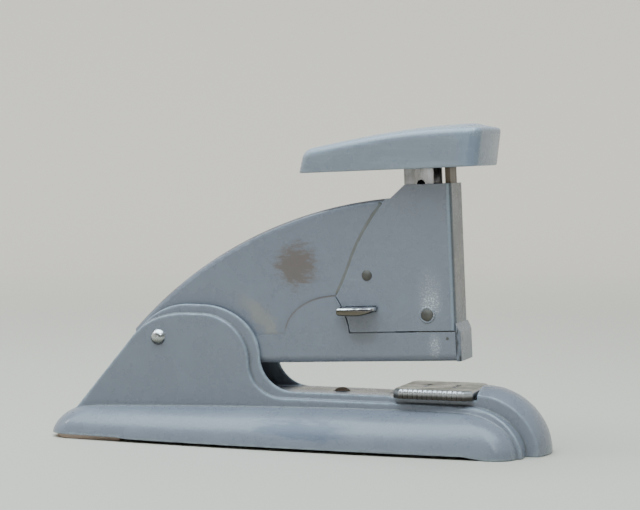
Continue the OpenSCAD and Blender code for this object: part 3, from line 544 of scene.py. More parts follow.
def tilted(verts):
    """Vertices drawn level on the hinge pin, at their rest angle."""
    x, z = world_from_level(verts[:, 0], verts[:, 2])
    return np.stack([x, verts[:, 1], z], axis=1)


def field_piece(name, field, low, step, body, replaced, move, rounds=3):
    """Piece on the zero level of a field, moved to its place on the part."""
    verts, quads = surface_net(field, low, step)
    verts = settle(verts, quads, field, low, step, rounds)
    layers = sharpness(verts, field, low, step)
    return add_piece(name, move(verts), quads.tolist(), body, replaced, layers)


# Outlines and grids

MARGIN = 3.0
FINE_MARGIN = 1.5
BEND_STEPS = 20
ARC_STEPS = 22


def grid(low, high, step, margin):
    """Places a step apart, from a margin before low to a margin after high."""
    past_end = 0.01
    return np.arange(low - margin, high + margin + past_end, step)


def half_grid(width, step):
    """Places on one side of the middle, the first of them half a step off it."""
    return (np.arange(int(width / step)) + 0.5) * step


def mirrored(body, x, y, z):
    """Whole field, from its half on the +Y side, and the lowest corner of its grid."""
    field = np.concatenate([body[:, ::-1, :], body], axis=1).astype(np.float32)
    return field, np.array([x.min(), -y.max(), z.min()])


def arc_points(centre, rx, rz, start, end):
    """Stretch of an ellipse between two angles in degrees."""
    angles = [math.radians(start + (end - start) * i / ARC_STEPS) for i in range(ARC_STEPS + 1)]
    return [(centre[0] + rx * math.cos(a), centre[1] + rz * math.sin(a)) for a in angles]


def bend_points(first, middle, last, count):
    """Curve that leaves the first point and reaches the last one aiming at the middle one."""
    points = []
    for i in range(count + 1):
        t = i / count
        points.append(tuple(a * (1 - t) ** 2 + b * 2 * t * (1 - t) + c * t * t
                            for a, b, c in zip(first, middle, last)))
    return points


# Base casting

EAR_FOOT = (-127.0, 10.9)
EAR_SHOULDER = (PIN_X - 15, PIN_Z + 0.2)
EAR_FLAT = 7.0
EAR_FLARE = 19.0
BANDS = 4
BAND_DROP = 1.2
BAND_SETBACK = 1.4
BELOW_FLOOR = -8.0
SLOPE_OVERRUN = 0.4
FALL_START = 64.0
FALL_LENGTH = 184.0
LIFT_START = 55.0
LIFT_LENGTH = 45.0
FALL_POWER = 1.5
SKIRT_WIDEST = 13.0
BOW_TO_TAIL = 0.00034
BOW_TO_NOSE = 0.00028
TAIL_RUN = 16.0
TAIL_CORNER = 12.0
SKIRT_FRONT = 123.0
SKIRT_RUN = 31.0
SKIRT_CORNER = 11.0
EARS_END = 60.0
NOSE_START = 50.0
BAND_FRONT = 125.3
BAND_RUN = 31.5
BAND_FLARE = 8.0
FLARE_LENGTH = 74.0
DECK_RUN = 34.5
DECK_BOW = 3.5
SKIRT_TUCK = 1.0
BAND_CORNER = 1.0
BAND_ROUND = 0.9
EAR_ROUND = 0.8
STEP_ROUND = 0.7
FILLET = 0.6
SEAT_ROUND = 0.4
SLOT_END = 40.0
HOLLOW_HALF = 13.0
HOLLOW_BACK = -97.0
HOLLOW_FRONT = 60.0
LUG_X = -89.0
LUG_HALF = 2.2
LUG_Z = 43.4
LUG_RISE = 2.0
LUG_INNER = 11.2
LUG_ROOT = 1.0
SEAT_GAP = 0.3
SEAT_DEPTH = 0.1
STEM_HOLE = 4.4
EDGE_PLACES = (-92.0, -86.0, 98.0, 108.0)
EDGE_LIFTS = (2.2, 1.6, 1.6, 0.0)
PAD_FRONT = -89.0


def ear_outline(band, deck, front_end):
    """Side view of an ear and the straight deck, lowered by a number of bands."""
    slope = (EAR_SHOULDER[0] - EAR_FOOT[0], EAR_SHOULDER[1] - EAR_FOOT[1])
    grow = BAND_DROP * (BANDS - band) / math.hypot(*slope)
    slope_end = (EAR_SHOULDER[0] + slope[0] * grow, EAR_SHOULDER[1] + slope[1] * grow)
    slope_foot = (EAR_FOOT[0] - slope[0] * SLOPE_OVERRUN, EAR_FOOT[1] - slope[1] * SLOPE_OVERRUN)
    crest = EAR_TOP - BAND_DROP * band
    front = EAR_FRONT - BAND_SETBACK * band
    waist = deck + EAR_WAIST
    up = (crest - slope_end[1]) / slope[1]
    shoulder = (slope_end[0] + slope[0] * up, crest)
    return (
        [(front_end, deck), (front_end, BELOW_FLOOR), slope_foot]
        + bend_points(slope_end, shoulder, (EAR_CREST - EAR_FLAT, crest), BEND_STEPS)
        + arc_points((EAR_CREST, waist), front - EAR_CREST, crest - waist, 86, 0)
        + arc_points((front + EAR_FLARE, waist), EAR_FLARE, EAR_WAIST, 184, 270)
    )


def tail_drop(x):
    """Fall of the skirt's upper edge towards the tail, less its lift at the nose."""
    fall = np.clip((FALL_START - x) / FALL_LENGTH, 0, 1.1) ** FALL_POWER
    lift = np.clip((x - LIFT_START) / LIFT_LENGTH, 0, 1) ** FALL_POWER
    return TAIL_FALL * fall - NOSE_LIFT * lift


def bend_heights(x, level):
    """Heights of the grid's levels, which follow the skirt's upper edge as it falls."""
    drop = tail_drop(x)
    below = level * (1 - drop / CREASE)
    between = CREASE - drop + (level - CREASE) * (STEP - CREASE + drop) / (STEP - CREASE)
    return np.where(level < CREASE, below, np.where(level < STEP, between, level))


def base_field(step):
    """Field of the whole casting, worked out on one half and mirrored."""
    x, y, levels = np.ix_(grid(-BASE_HALF, BASE_HALF, step, MARGIN),
                          half_grid(SIDE_HALF + MARGIN, step),
                          grid(0, EAR_TOP, step, MARGIN))
    z = bend_heights(x, levels)
    bow = np.where(x < SKIRT_WIDEST, BOW_TO_TAIL, BOW_TO_NOSE)
    side_at = SIDE_HALF - bow * (x - SKIRT_WIDEST) ** 2
    crease_at = CREASE - tail_drop(x)

    def roll(top):
        level = np.clip(z / top, 0, 0.9999)
        return 1 - np.sqrt(1 - level * level)

    def skirt(inset):
        run = roll(crease_at - inset)
        half = side_at - inset - (side_at - WALL_HALF + SKIRT_TUCK) * run
        back = -BASE_HALF + inset + TAIL_RUN * run - x
        front = x - (SKIRT_FRONT - inset - SKIRT_RUN * run)
        plan = round_max(round_max(y - half, back, TAIL_CORNER), front, SKIRT_CORNER)
        return true_distance(np.maximum(plan, z - crease_at + inset), step)

    def band_nose(inset):
        top = STEP - inset
        run = roll(top)
        reach = np.clip((x - NOSE_START) / FLARE_LENGTH, 0, 1)
        half = WALL_HALF - inset + BAND_FLARE * (1 - run) * reach * reach * (3 - 2 * reach)
        plan = round_max(y - half, x - (BAND_FRONT - inset - BAND_RUN * run), BAND_CORNER)
        nose = true_distance(round_max(plan, z - top, STEP_ROUND) + 0 * y, step)
        return np.maximum(nose, NOSE_START - x)

    def deck_nose(inset, raised):
        across = np.minimum(y, DECK_HALF) / DECK_HALF
        top = DECK - inset + 0 * x
        if raised:
            top = np.where(x > ANVIL_X, NOSE_TOP - NOSE_CROWN * across ** 2, top)
        run = roll(top)
        half = DECK_HALF - inset
        front = BASE_HALF - inset - DECK_RUN * run - DECK_BOW * across ** 2
        plan = round_max(y - half + 0 * x, x - front, STEP_ROUND)
        nose = true_distance(round_max(plan, z - top, STEP_ROUND), step)
        return np.maximum(nose, NOSE_START - x)

    ears = polygon_distance(x, z, ear_outline(BANDS, STEP, EARS_END))
    band = round_max(ears, y - WALL_HALF, BAND_ROUND)
    band = np.minimum(band, band_nose(0))
    ears = polygon_distance(x, z, ear_outline(0, DECK, EARS_END))
    rim = round_max(ears, y - DECK_HALF, EAR_ROUND)
    rim = np.minimum(rim, deck_nose(0, True))
    body = smooth_min(skirt(0), band, FILLET)
    body = smooth_min(body, rim, FILLET)

    # Slot for the arm, and the hollow underneath
    slot = np.maximum(np.maximum(y - EAR_INNER, DECK - z), x - SLOT_END)
    body = smooth_max(body, -slot, FILLET)
    under = np.maximum(y - HOLLOW_HALF, z - DECK + CAST_WALL)
    under = np.maximum(under, np.maximum(HOLLOW_BACK - x, x - HOLLOW_FRONT))
    hollow = np.minimum(skirt(CAST_WALL), under)
    hollow = np.minimum(hollow, band_nose(CAST_WALL))
    hollow = np.minimum(hollow, deck_nose(CAST_WALL, False))
    body = smooth_max(body, -hollow, FILLET)

    # Lug inside each ear
    lug = np.maximum(np.abs(x - LUG_X) - LUG_HALF, np.abs(z - LUG_Z) - LUG_RISE)
    lug = np.maximum(lug, LUG_INNER - y)
    body = np.minimum(body, np.maximum(lug, y - EAR_INNER - LUG_ROOT))

    # Seat of the anvil, open to its sides, and the hole for its stem
    from_anvil = np.hypot(x - ANVIL_X, y)
    sweep = math.hypot(ANVIL_HALF, ANVIL_HALF - ANVIL_CORNER) + SEAT_GAP
    seat = np.minimum(sweep - from_anvil, ANVIL_X + ANVIL_HALF + NOSE_GAP - x)
    body = smooth_max(body, np.minimum(seat, z - ANVIL_FOOT + SEAT_DEPTH), SEAT_ROUND)
    body = np.maximum(body, STEM_HOLE - from_anvil + 0 * z)

    # Lower edge, which clears the table between the pad and the nose, and room for the pad
    lower = np.interp(x[:, 0, 0], EDGE_PLACES, EDGE_LIFTS)[:, None, None]
    body = smooth_max(body, lower - z + 0 * y, FILLET)
    pad = np.maximum(np.maximum(skirt(PAD_RIM), x - PAD_FRONT), z - PAD_TOP)
    body = smooth_max(body, -pad, SEAT_ROUND)
    return mirrored(body, x, y, levels)


def make_base():
    """Whole base as one smooth casting."""
    step = 0.7
    field, low = base_field(step)

    def unbend(verts):
        verts[:, 2] = bend_heights(verts[:, 0], verts[:, 2])
        return verts

    return field_piece("base", field, low, step, "base", ["base_casting"], unbend)


# Knob, drawn level on the hinge pin

KNOB_BOTTOM = 83.9
KNOB_BACK = 82.3
KNOB_FRONT = 180.7
KNOB_LEAN = 3.3
KNOB_HEIGHT = 21.0
KNOB_GRID_HALF = 27.0
KNOB_GRID_TOP = 110.0
TAIL_HALF = 17.0
WIDENS_BY = 7.2
SIDE_LEAN = 0.2
TAIL_LEAN = 6.0
FRONT_BOW = 1.4
BOW_HALF = 24.0
BACK_CORNER = 5.0
FRONT_CORNER = 5.5
RIDGE_FOOT = 95.6
RIDGE_RISE = 10.1
RIDGE_START = 80.0
RIDGE_LENGTH = 92.0
BROW_START = 173.0
BROW_HEIGHT = 103.3
KNOB_CROWN = 2.4
CROWN_HALF = 22.0
CROWN_END = 25.0
RIM_ROUND = 3.4
BROW_SHARPER = 1.2
KNOB_WALL = 3.2
KNOB_FOOT_ROUND = 0.7
WIDEN_POWER = 0.9
CEILING_PLACES = (84.0, 113.8)
CEILING_HEIGHTS = (91.1, 95.6)


def knob_field(step):
    """Field of the hollow knob, worked out on one half and mirrored."""
    u, y, v = np.ix_(grid(KNOB_BACK, KNOB_FRONT + KNOB_LEAN, step, MARGIN),
                     half_grid(KNOB_GRID_HALF, step),
                     np.arange(KNOB_BOTTOM - MARGIN, KNOB_GRID_TOP, step))
    up = np.clip((v - KNOB_BOTTOM) / KNOB_HEIGHT, 0, 1.2)
    along = np.clip((u - KNOB_BACK) / (KNOB_FRONT - KNOB_BACK), 0, 1)
    climb = np.clip((u - RIDGE_START) / RIDGE_LENGTH, 0, 1)
    ridge = RIDGE_FOOT + RIDGE_RISE * np.sin(climb * math.pi / 2)
    fall = np.clip((u - BROW_START) / (KNOB_FRONT + KNOB_LEAN - BROW_START), 0, 1)
    fall = fall * fall * (3 - 2 * fall)

    def form(inset, crown):
        half = TAIL_HALF + WIDENS_BY * along ** WIDEN_POWER - inset + SIDE_LEAN * up
        back = KNOB_BACK + inset + TAIL_LEAN * up - u
        bow = FRONT_BOW * (np.minimum(y, BOW_HALF) / BOW_HALF) ** 2
        front = u - (KNOB_FRONT - inset + KNOB_LEAN * up - bow)
        plan = round_max(y - half, back, BACK_CORNER)
        plan = round_max(plan, front, FRONT_CORNER)
        top = (ridge - crown * (np.minimum(y, CROWN_END) / CROWN_HALF) ** 2) * (1 - fall) + BROW_HEIGHT * fall
        return true_distance(plan + 0 * v, step), v - top

    plan, top = form(0, KNOB_CROWN)
    body = round_max(plan, top, RIM_ROUND - BROW_SHARPER * fall)
    body = round_max(body, KNOB_BOTTOM - v + 0 * u, KNOB_FOOT_ROUND)
    inner, _ = form(KNOB_WALL, 0)
    ceiling = np.interp(u[:, 0, 0], CEILING_PLACES, CEILING_HEIGHTS)[:, None, None]
    body = smooth_max(body, -np.maximum(inner, v - ceiling), FILLET)
    return mirrored(body, u, y, v)


def make_knob():
    """Palm knob that the plunger carries."""
    step = 0.6
    field, low = knob_field(step)
    return field_piece("palm_knob", field, low, step, "plunger", ["knob"], tilted)


# Latch tab, drawn level on the hinge pin

LATCH_Z = 12.7
LATCH_THICKNESS = 2.5
TAB = (101.2, 122.3, -19.5, -12.35)
TAB_TOP = 14.1
TAB_DEPTH = 4.8
TAB_FALL = 0.5
TAB_BACK_CORNER = 1.2
TAB_FRONT_CORNER = 5.0
TAB_ROUND = 1.5
TAB_INNER_ROUND = 0.4
TAPER_START = 0.45
TAPER_DEPTH = 0.55
TAPER_SPREAD = 0.3
HEEL_DEPTH = 0.12
ARM_ROUND = 0.3
TAB_ROOT = (104.5, 113.0, -12.6, -3.9)
TAB_ARM = (95.0, 113.0, -7.7, -3.9)


def make_latch():
    """Plated thumb tab, bellied underneath, with its root through the slot and the arm inside."""
    step = 0.3
    u, y, v = np.ix_(grid(TAB_ARM[0], TAB[1], step, FINE_MARGIN),
                     grid(TAB[2], TAB_ARM[3], step, FINE_MARGIN),
                     grid(TAB_TOP - TAB_DEPTH, TAB_TOP, step, FINE_MARGIN))

    def slab(limits):
        back, front, near, far = limits
        return np.maximum(np.maximum(back - u, u - front), np.maximum(near - y, y - far))

    plan = round_max(TAB[0] - u, TAB[2] - y, TAB_BACK_CORNER)
    plan = round_max(plan, u - TAB[1], TAB_FRONT_CORNER)
    plan = round_max(plan + 0 * v, y - TAB[3] + 0 * u, TAB_INNER_ROUND)
    along = np.clip((u - TAB[0]) / (TAB[1] - TAB[0]), 0, 1)
    taper = TAPER_DEPTH * np.clip(along - TAPER_START, 0, 1) ** 2 / TAPER_SPREAD
    heel = HEEL_DEPTH * (1 - along) ** 4
    belly = TAB_DEPTH * (1 - taper - heel)
    upper = v - TAB_TOP + TAB_FALL * (y - TAB[3]) / (TAB[2] - TAB[3]) + 0 * u
    tall = np.maximum(upper, TAB_TOP - belly - v)
    tab = round_max(plan, tall, TAB_ROUND)
    inner = np.abs(v - LATCH_Z) - LATCH_THICKNESS / 2
    inner = round_max(np.minimum(slab(TAB_ROOT), slab(TAB_ARM)) + 0 * v, inner + 0 * u, ARM_ROUND)
    field = np.minimum(tab, inner)
    low = np.array([u.min(), y.min(), v.min()])
    return field_piece("latch_tab", field, low, step, "latch", ["latch_slide"], tilted)


# Anvil plate, drawn round its own middle

TOOTH_PITCH = 2.6
TOOTH_DEPTH = 0.9
ANVIL_CHAMFER = 1.2
POCKET_AT = (7.7, 3.9)
POCKET_HALF = (1.2, 2.4)
POCKET_DEPTH = 0.9
POCKET_ROUND = 0.3


def make_anvil():
    """Square plate with cut corners, milled flanks, a chamfered upper edge and clinch pockets."""
    step = 0.3
    reach = grid(-ANVIL_HALF, ANVIL_HALF, step, FINE_MARGIN)
    x, y, z = np.ix_(reach, reach, grid(ANVIL_FOOT, ANVIL_TOP, step, FINE_MARGIN))
    wave = np.abs(np.mod(x / TOOTH_PITCH, 1) - 0.5) * 2
    flank = np.abs(y) - ANVIL_HALF + TOOTH_DEPTH * wave
    corner = (np.abs(x) + np.abs(y) - 2 * ANVIL_HALF + ANVIL_CORNER) / math.sqrt(2)
    plan = np.maximum(np.maximum(np.abs(x) - ANVIL_HALF, flank), corner)
    field = np.maximum(plan, np.maximum(z - ANVIL_TOP, ANVIL_FOOT - z))
    field = np.maximum(field, (plan + z - ANVIL_TOP + ANVIL_CHAMFER) / math.sqrt(2))
    pocket = np.maximum(np.abs(np.abs(x) - POCKET_AT[0]) - POCKET_HALF[0],
                        np.abs(np.abs(y) - POCKET_AT[1]) - POCKET_HALF[1])
    field = smooth_max(field, -np.maximum(pocket, ANVIL_TOP - POCKET_DEPTH - z), POCKET_ROUND)
    low = np.array([x.min(), y.min(), z.min()])

    def move(verts):
        return verts + np.array([ANVIL_X, 0, 0])

    return field_piece("milled_anvil", field, low, step, "anvil", ["anvil_plate"], move, rounds=1)


# Rounded fillet along the seam between the arm and the head, drawn level on the hinge pin

SEAM_FOOT = (99.5, 19.6)
SEAM_LOWER_AIM = (103.3, 24.6)
SEAM_MIDDLE = (108.7, 38.0)
SEAM_UPPER_AIM = (113.8, 50.9)
SEAM_TOP = (126.2, 66.6)
SEAM_TAPER_STEPS = 3
SEAM_END_SIZE = 0.25
SEAM_ROOT = 10.7
SEAM_SECTION = (
    (0.4, 12.15), (-0.3, 12.0), (-1.0, 11.5), (-1.7, 11.05), (-2.1, 10.8),
    (-1.0, SEAM_ROOT), (0.4, SEAM_ROOT),
)


def make_seam(name, side):
    """Soft paint-filled step from the head's edge down to the arm, tapered at both ends."""
    path = bend_points(SEAM_FOOT, SEAM_LOWER_AIM, SEAM_MIDDLE, 12)
    path += bend_points(SEAM_MIDDLE, SEAM_UPPER_AIM, SEAM_TOP, 16)[1:]
    verts = []
    for i, (u, v) in enumerate(path):
        before, after = path[max(i - 1, 0)], path[min(i + 1, len(path) - 1)]
        along = (after[0] - before[0], after[1] - before[1])
        size = math.hypot(*along)
        across = (along[1] / size, -along[0] / size)
        ends = min(i, len(path) - 1 - i) / SEAM_TAPER_STEPS
        swell = min(1.0, SEAM_END_SIZE + (1 - SEAM_END_SIZE) * ends)
        for off, depth in SEAM_SECTION:
            depth = SEAM_ROOT + (depth - SEAM_ROOT) * swell
            verts.append((u + across[0] * off, side * depth, v + across[1] * off))
    count = len(SEAM_SECTION)
    faces = []
    for i in range(len(path) - 1):
        for j in range(count):
            k = (j + 1) % count
            quad = (i * count + j, i * count + k, (i + 1) * count + k, (i + 1) * count + j)
            faces.append(quad if side < 0 else quad[::-1])
    last = (len(path) - 1) * count
    caps = [tuple(range(count))[::-1], tuple(range(last, last + count))]
    faces += caps if side < 0 else [cap[::-1] for cap in caps]
    return add_piece(name, tilted(np.array(verts)), faces, "arm")


RIVET_AT = (72.6, -12.2, 70.1)
RING_RADIUS = 3.75
RING_HALF = 0.55
RING_LIP = 0.42
RING_UNEVEN = 0.16


def make_paint_ring():
    """Lip of thick paint round the lower rivet."""
    around, across = 48, 8
    verts = []
    for i in range(around):
        turn = 2 * math.pi * i / around
        thick = RING_LIP + RING_UNEVEN * math.cos(turn + 0.6)
        for j in range(across):
            lean = 2 * math.pi * j / across
            reach = RING_RADIUS + RING_HALF * math.cos(lean)
            verts.append((RIVET_AT[0] + reach * math.cos(turn), RIVET_AT[1] - thick * math.sin(lean),
                          RIVET_AT[2] + reach * math.sin(turn)))
    faces = []
    for i in range(around):
        for j in range(across):
            ring, turn = (i + 1) % around, (j + 1) % across
            faces.append((i * across + j, ring * across + j, ring * across + turn, i * across + turn))
    return add_piece("paint_ring", np.array(verts), faces, "arm")


# CAD pieces with their edges rounded

WELD = 2e-6
FLAT_ANGLE = math.radians(0.6)
SHARP_ANGLE = math.radians(28)


def rounded_copy(node, body, width):
    """Copy of a CAD node with flat faces joined and sharp edges bevelled, which stands for the node."""
    mesh = bmesh.new()
    mesh.from_mesh(frame["nodes"][node].data)
    bmesh.ops.remove_doubles(mesh, verts=mesh.verts, dist=WELD)
    bmesh.ops.dissolve_limit(mesh, angle_limit=FLAT_ANGLE, verts=mesh.verts, edges=mesh.edges)
    layer = mesh.faces.layers.float.new("edge")
    sharp = [e for e in mesh.edges if e.is_manifold and e.calc_face_angle(0) > SHARP_ANGLE]
    made = bmesh.ops.bevel(mesh, geom=sharp, offset=width * MM, segments=2, profile=0.5,
                           affect="EDGES", clamp_overlap=True)
    for face in made["faces"]:
        face[layer] = 1.0
    for face in mesh.faces:
        face.smooth = True
    data = bpy.data.meshes.new(node)
    mesh.to_mesh(data)
    mesh.free()
    piece = new_object(node + "_skin", data)
    piece.modifiers.new("normals", "WEIGHTED_NORMAL").keep_sharp = True
    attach(piece, body)
    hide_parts(node)
    return piece


# Springs, copied from their CAD nodes

ARM_SPRING_TRAVEL = 5.4
PLUNGER_TRAVEL = 16.0
LATCH_TRAVEL = 5.0
PUSHER_TRAVEL = 95.0


def spring_copy(node):
    """Copy of a spring, which stands for its node."""
    piece = new_object(node + "_moving", frame["nodes"][node].data.copy())
    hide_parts(node)
    return piece


def make_coil(node, body):
    """Copy of a coil spring, with its own mesh, that moves with a body."""
    piece = spring_copy(node)
    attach(piece, body)
    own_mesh(piece)
    return piece


def make_leaf():
    """Copy of the leaf spring, with its placement baked into its mesh."""
    piece = spring_copy("leaf_spring")
    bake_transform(piece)
    return piece


# Finish of each piece, with the highlights and shade painted into it

def skin(piece, material):
    """Gives the whole piece one material."""
    piece.data.materials.clear()
    piece.data.materials.append(material)


HEAD_FRONT = 163.0
HEAD_EDGE = (HEAD_FRONT + PIN_X * math.cos(REST_TILT) + PIN_Z * math.sin(REST_TILT)) * MM


def head_wear_and_painted_light(shade, colour):
    """Painted bluish highlight along the folded front edge, front faces darkened as painted shade and browned
    by wear, the dark line beside the fold, and painted glints above the rivet.
    """
    forward = shade.vector("DOT_PRODUCT", shade.point, LEVEL_OUT)
    # Painted bluish highlight on the rounded front edge
    corner = shade.ramp(forward, HEAD_EDGE - 2.8 * MM, HEAD_EDGE - 1.6 * MM)
    uneven = shade.ramp(shade.noise(45.0, 3.0, 0.6, stretch=(1.0, 1.0, 0.3)), 0.3, 0.6, 0.5, 0.85)
    colour = shade.mix(shade.times(corner, uneven), colour, PALE_PAINT_AND_HIGHLIGHT)
    # Front faces: painted shade, with brown wear streaks over part of them
    front = shade.ramp(shade.axis("X", of_normal=True), 0.55, 0.9)
    streaks = shade.noise(120.0, 4.0, 0.65, stretch=(1.0, 1.6, 0.25))
    height = shade.axis("Z")
    rubbed = shade.times(shade.ramp(height, 0.066, 0.084), shade.ramp(height, 0.128, 0.105))
    rubbed = shade.times(rubbed, shade.ramp(streaks, 0.36, 0.62, 0.05, 0.6))
    colour = shade.mix(front, colour, shade.mix(rubbed, FRONT_SHADE_GREY, BROWN_METAL))
    aside = shade.math("ABSOLUTE", shade.axis("Y"))
    fold = shade.times(front, shade.ramp(aside, 0.0104, 0.0111, 0.0, 0.6))
    colour = shade.mix(fold, colour, NEARLY_BLACK)
    # Painted glints round and above the lower rivet
    colour = shade.painted_glint(colour, place(74.0, -12.2, 80.0), (9, 6, 19), 0.4)
    return shade.painted_glint(colour, place(74.5, -12.2, 76.0), (7, 6, 9), 0.9)


def arch_line(shade, colour):
    """Brown line along the magazine's arch, where the arm's wall ends on it."""
    x, z = world_from_level(ARCH_TOP, 0)
    out = shade.vector("SUBTRACT", shade.point, place(x, 0, z))
    along = shade.math("DIVIDE", shade.vector("DOT_PRODUCT", out, LEVEL_OUT), ARCH_LENGTH * MM)
    up = shade.math("DIVIDE", shade.vector("DOT_PRODUCT", out, LEVEL_UP), ARCH_RISE * MM)
    reach = shade.math("ADD", shade.times(along, along), shade.times(up, up))
    off = shade.math("ABSOLUTE", shade.math("SUBTRACT", shade.math("SQRT", reach), 1.0))
    line = shade.times(shade.ramp(off, 0.014, 0.030, 0.8, 0.0), shade.ramp(along, 0.02, -0.02))
    line = shade.times(line, shade.ramp(up, 0.02, 0.2))
    return shade.mix(line, colour, BROWN_METAL)


def cover_arch_line_and_glint(shade, colour):
    """Painted glint beside the magazine's front edge, and the line round its arch."""
    colour = arch_line(shade, colour)
    # Painted glint: a soft highlight with bright flecks
    return shade.painted_glint(colour, place(76.8, -12.2, 54.5), (4.5, 6, 8), 0.8)


def knob_wear_and_painted_light(shade, colour):
    """Scratches along the knob's sides, a painted top light on the faces that look up, a front corner partly
    rubbed and partly a painted bluish highlight, and a painted glint at that corner.
    """
    streaks = shade.noise(75.0, 5.0, 0.7, stretch=(0.12, 1.0, 1.5))
    colour = shade.mix(shade.ramp(streaks, 0.40, 0.68, 0.16, 0.62), colour, PALE_PAINT_AND_HIGHLIGHT)
    # Faces that look up made lighter: a painted top light
    colour = shade.mix(shade.ramp(shade.axis("Z", of_normal=True), 0.4, 0.9, 0.0, 0.75), colour, PALE_PAINT_AND_HIGHLIGHT)
    smear = shade.noise(160.0, 4.0, 0.7, stretch=(1.0, 1.0, 0.35))
    # Front corner: rubbed paint and a painted bluish highlight
    corner = shade.math("ADD", shade.axis("X"), shade.times(smear, 0.012))
    colour = shade.mix(shade.ramp(corner, 0.094, 0.106, 0.0, 0.7), colour, RUBBED_BLUE_AND_HIGHLIGHT)
    # Painted glint at the near front corner
    return shade.painted_glint(colour, place(99.0, -20.0, 164.0), (8, 8, 5), 0.6)


ARM_ARC_CENTRE = place(72.7, 0, -91.8)
ARM_ARC_RADIUS = 222.2 * MM


def worn_arm(shade, colour):
    """Brown line where the arm's top edges are rubbed bare, and paint rubbed thin round the ear."""
    away = shade.vector("SUBTRACT", shade.point, ARM_ARC_CENTRE)
    away = shade.vector("LENGTH", shade.vector("MULTIPLY", away, (1.0, 0.0, 1.0)))
    top = shade.ramp(away, ARM_ARC_RADIUS - 1.4 * MM, ARM_ARC_RADIUS - 0.4 * MM)
    aside = shade.ramp(shade.math("ABSOLUTE", shade.axis("Y")), 0.0052, 0.0085)
    rubbed = shade.ramp(shade.noise(60.0, 4.0, 0.6), 0.35, 0.6, 0.3, 0.85)
    bare = shade.times(rubbed, shade.times(top, aside))
    colour = shade.mix(bare, colour, BROWN_METAL)
    any_depth = 1e6
    ear = (EAR_FRONT - EAR_CREST, any_depth, EAR_TOP - DECK - EAR_WAIST)
    round_ear = shade.distance(place(EAR_CREST, 0, DECK + EAR_WAIST), ear)
    off = shade.math("ABSOLUTE", shade.math("SUBTRACT", round_ear, 1.26))
    flecks = shade.math("SUBTRACT", shade.noise(230.0, 6.0, 0.72), shade.times(off, 2.0))
    x = shade.axis("X")
    along = shade.times(shade.ramp(x, -0.036, -0.020), shade.ramp(x, 0.006, -0.004))
    band = shade.times(shade.ramp(flecks, 0.12, 0.40), along)
    colour = shade.mix(shade.times(band, 0.75), colour, RUBBED)
    return arch_line(shade, colour)


def scratched_plate(shade, colour):
    """Black scratches down the nose piece, most of them near its folded edges."""
    streaks = shade.noise(420.0, 3.0, 0.7, stretch=(1.0, 1.0, 0.14))
    aside = shade.ramp(shade.math("ABSOLUTE", shade.axis("Y")), 0.0085, 0.0125, 0.0, 0.13)
    scratches = shade.ramp(shade.math("ADD", streaks, aside), 0.62, 0.70, 0.0, 0.9)
    return shade.mix(scratches, colour, NEARLY_BLACK)


# Colours of the plated pieces, with the reflections and shade painted onto them
NICKEL = (0.27, 0.27, 0.25)
NICKEL_SMUDGE = (0.115, 0.115, 0.105)
TOOTH_BRIGHT = (0.50, 0.50, 0.52)
# Painted shade on the lower part of the teeth
TOOTH_SHADE = (0.060, 0.052, 0.048)
PLATING = (0.82, 0.82, 0.84)
# Painted reflections on the latch tab: dark streaks and the brown of the table
STREAK_REFLECTION_DARK = (0.16, 0.15, 0.16)
TABLE_REFLECTION_BROWN = (0.135, 0.118, 0.095)
# Painted reflection on the domes, bright above and dark below
DOME_UPPER_REFLECTION = (0.74, 0.77, 0.80)
DOME_LOWER_REFLECTION = (0.16, 0.155, 0.145)


def milled_plate(name):
    """Dull nickel with smudges on its face, bright milled teeth, and painted shade on the lower part of the
    teeth.
    """
    shade = Shade(name)
    smudge = shade.noise(95.0, 4.0, 0.6, stretch=(0.7, 1.0, 1.0))
    colour = shade.mix(shade.ramp(smudge, 0.36, 0.68, 0.0, 0.8), NICKEL, NICKEL_SMUDGE)
    side = shade.ramp(shade.math("ABSOLUTE", shade.axis("Z", of_normal=True)), 0.85, 0.6)
    colour = shade.mix(side, colour, TOOTH_BRIGHT)
    # Lower part of the milled flanks darkened as painted shade
    low = shade.ramp(shade.axis("Z"), 0.0310, 0.0288)
    colour = shade.mix(shade.times(side, low), colour, TOOTH_SHADE)
    grain = shade.noise(1100.0, 3.0, 0.6)
    shade.set(base_color=colour, metallic=0.85, roughness=shade.ramp(smudge, 0.3, 0.7, 0.22, 0.42),
              normal=shade.bump(grain, 0.15, 0.0002))
    return shade.material


def tab_plating(name):
    """Chrome with dark streaks painted in as reflections, and a painted brown reflection of the table along
    its lower half.
    """
    shade = Shade(name)
    streak = shade.noise(260.0, 4.0, 0.6, stretch=(0.4, 1.0, 1.0))
    height = shade.math("ADD", shade.axis("Z"), shade.times(streak, 0.0022))
    # Dark streaks painted in as reflections
    colour = shade.mix(shade.ramp(streak, 0.44, 0.56), PLATING, STREAK_REFLECTION_DARK)
    # Lower half: painted brown reflection of the table
    colour = shade.mix(shade.ramp(height, 0.0734, 0.0722), colour, TABLE_REFLECTION_BROWN)
    shade.set(base_color=colour, metallic=1.0, roughness=shade.ramp(streak, 0.3, 0.7, 0.08, 0.22),
              normal=shade.bump(streak, 0.10, 0.0004))
    return shade.material


def domed_chrome(name):
    """Chrome on a domed head, with a painted reflection: bright on its upper side and dark on its lower side.
    """
    shade = Shade(name)
    haze = shade.noise(420.0, 3.0, 0.6)
    facing = shade.math("ADD", shade.axis("Z", of_normal=True), shade.times(haze, 0.35))
    # Painted reflection: bright where the dome faces up, dark where it faces down
    colour = shade.mix(shade.ramp(facing, -0.35, 0.55), DOME_LOWER_REFLECTION, DOME_UPPER_REFLECTION)
    shade.set(base_color=colour, metallic=1.0, roughness=shade.ramp(haze, 0.3, 0.7, 0.20, 0.32))
    return shade.material


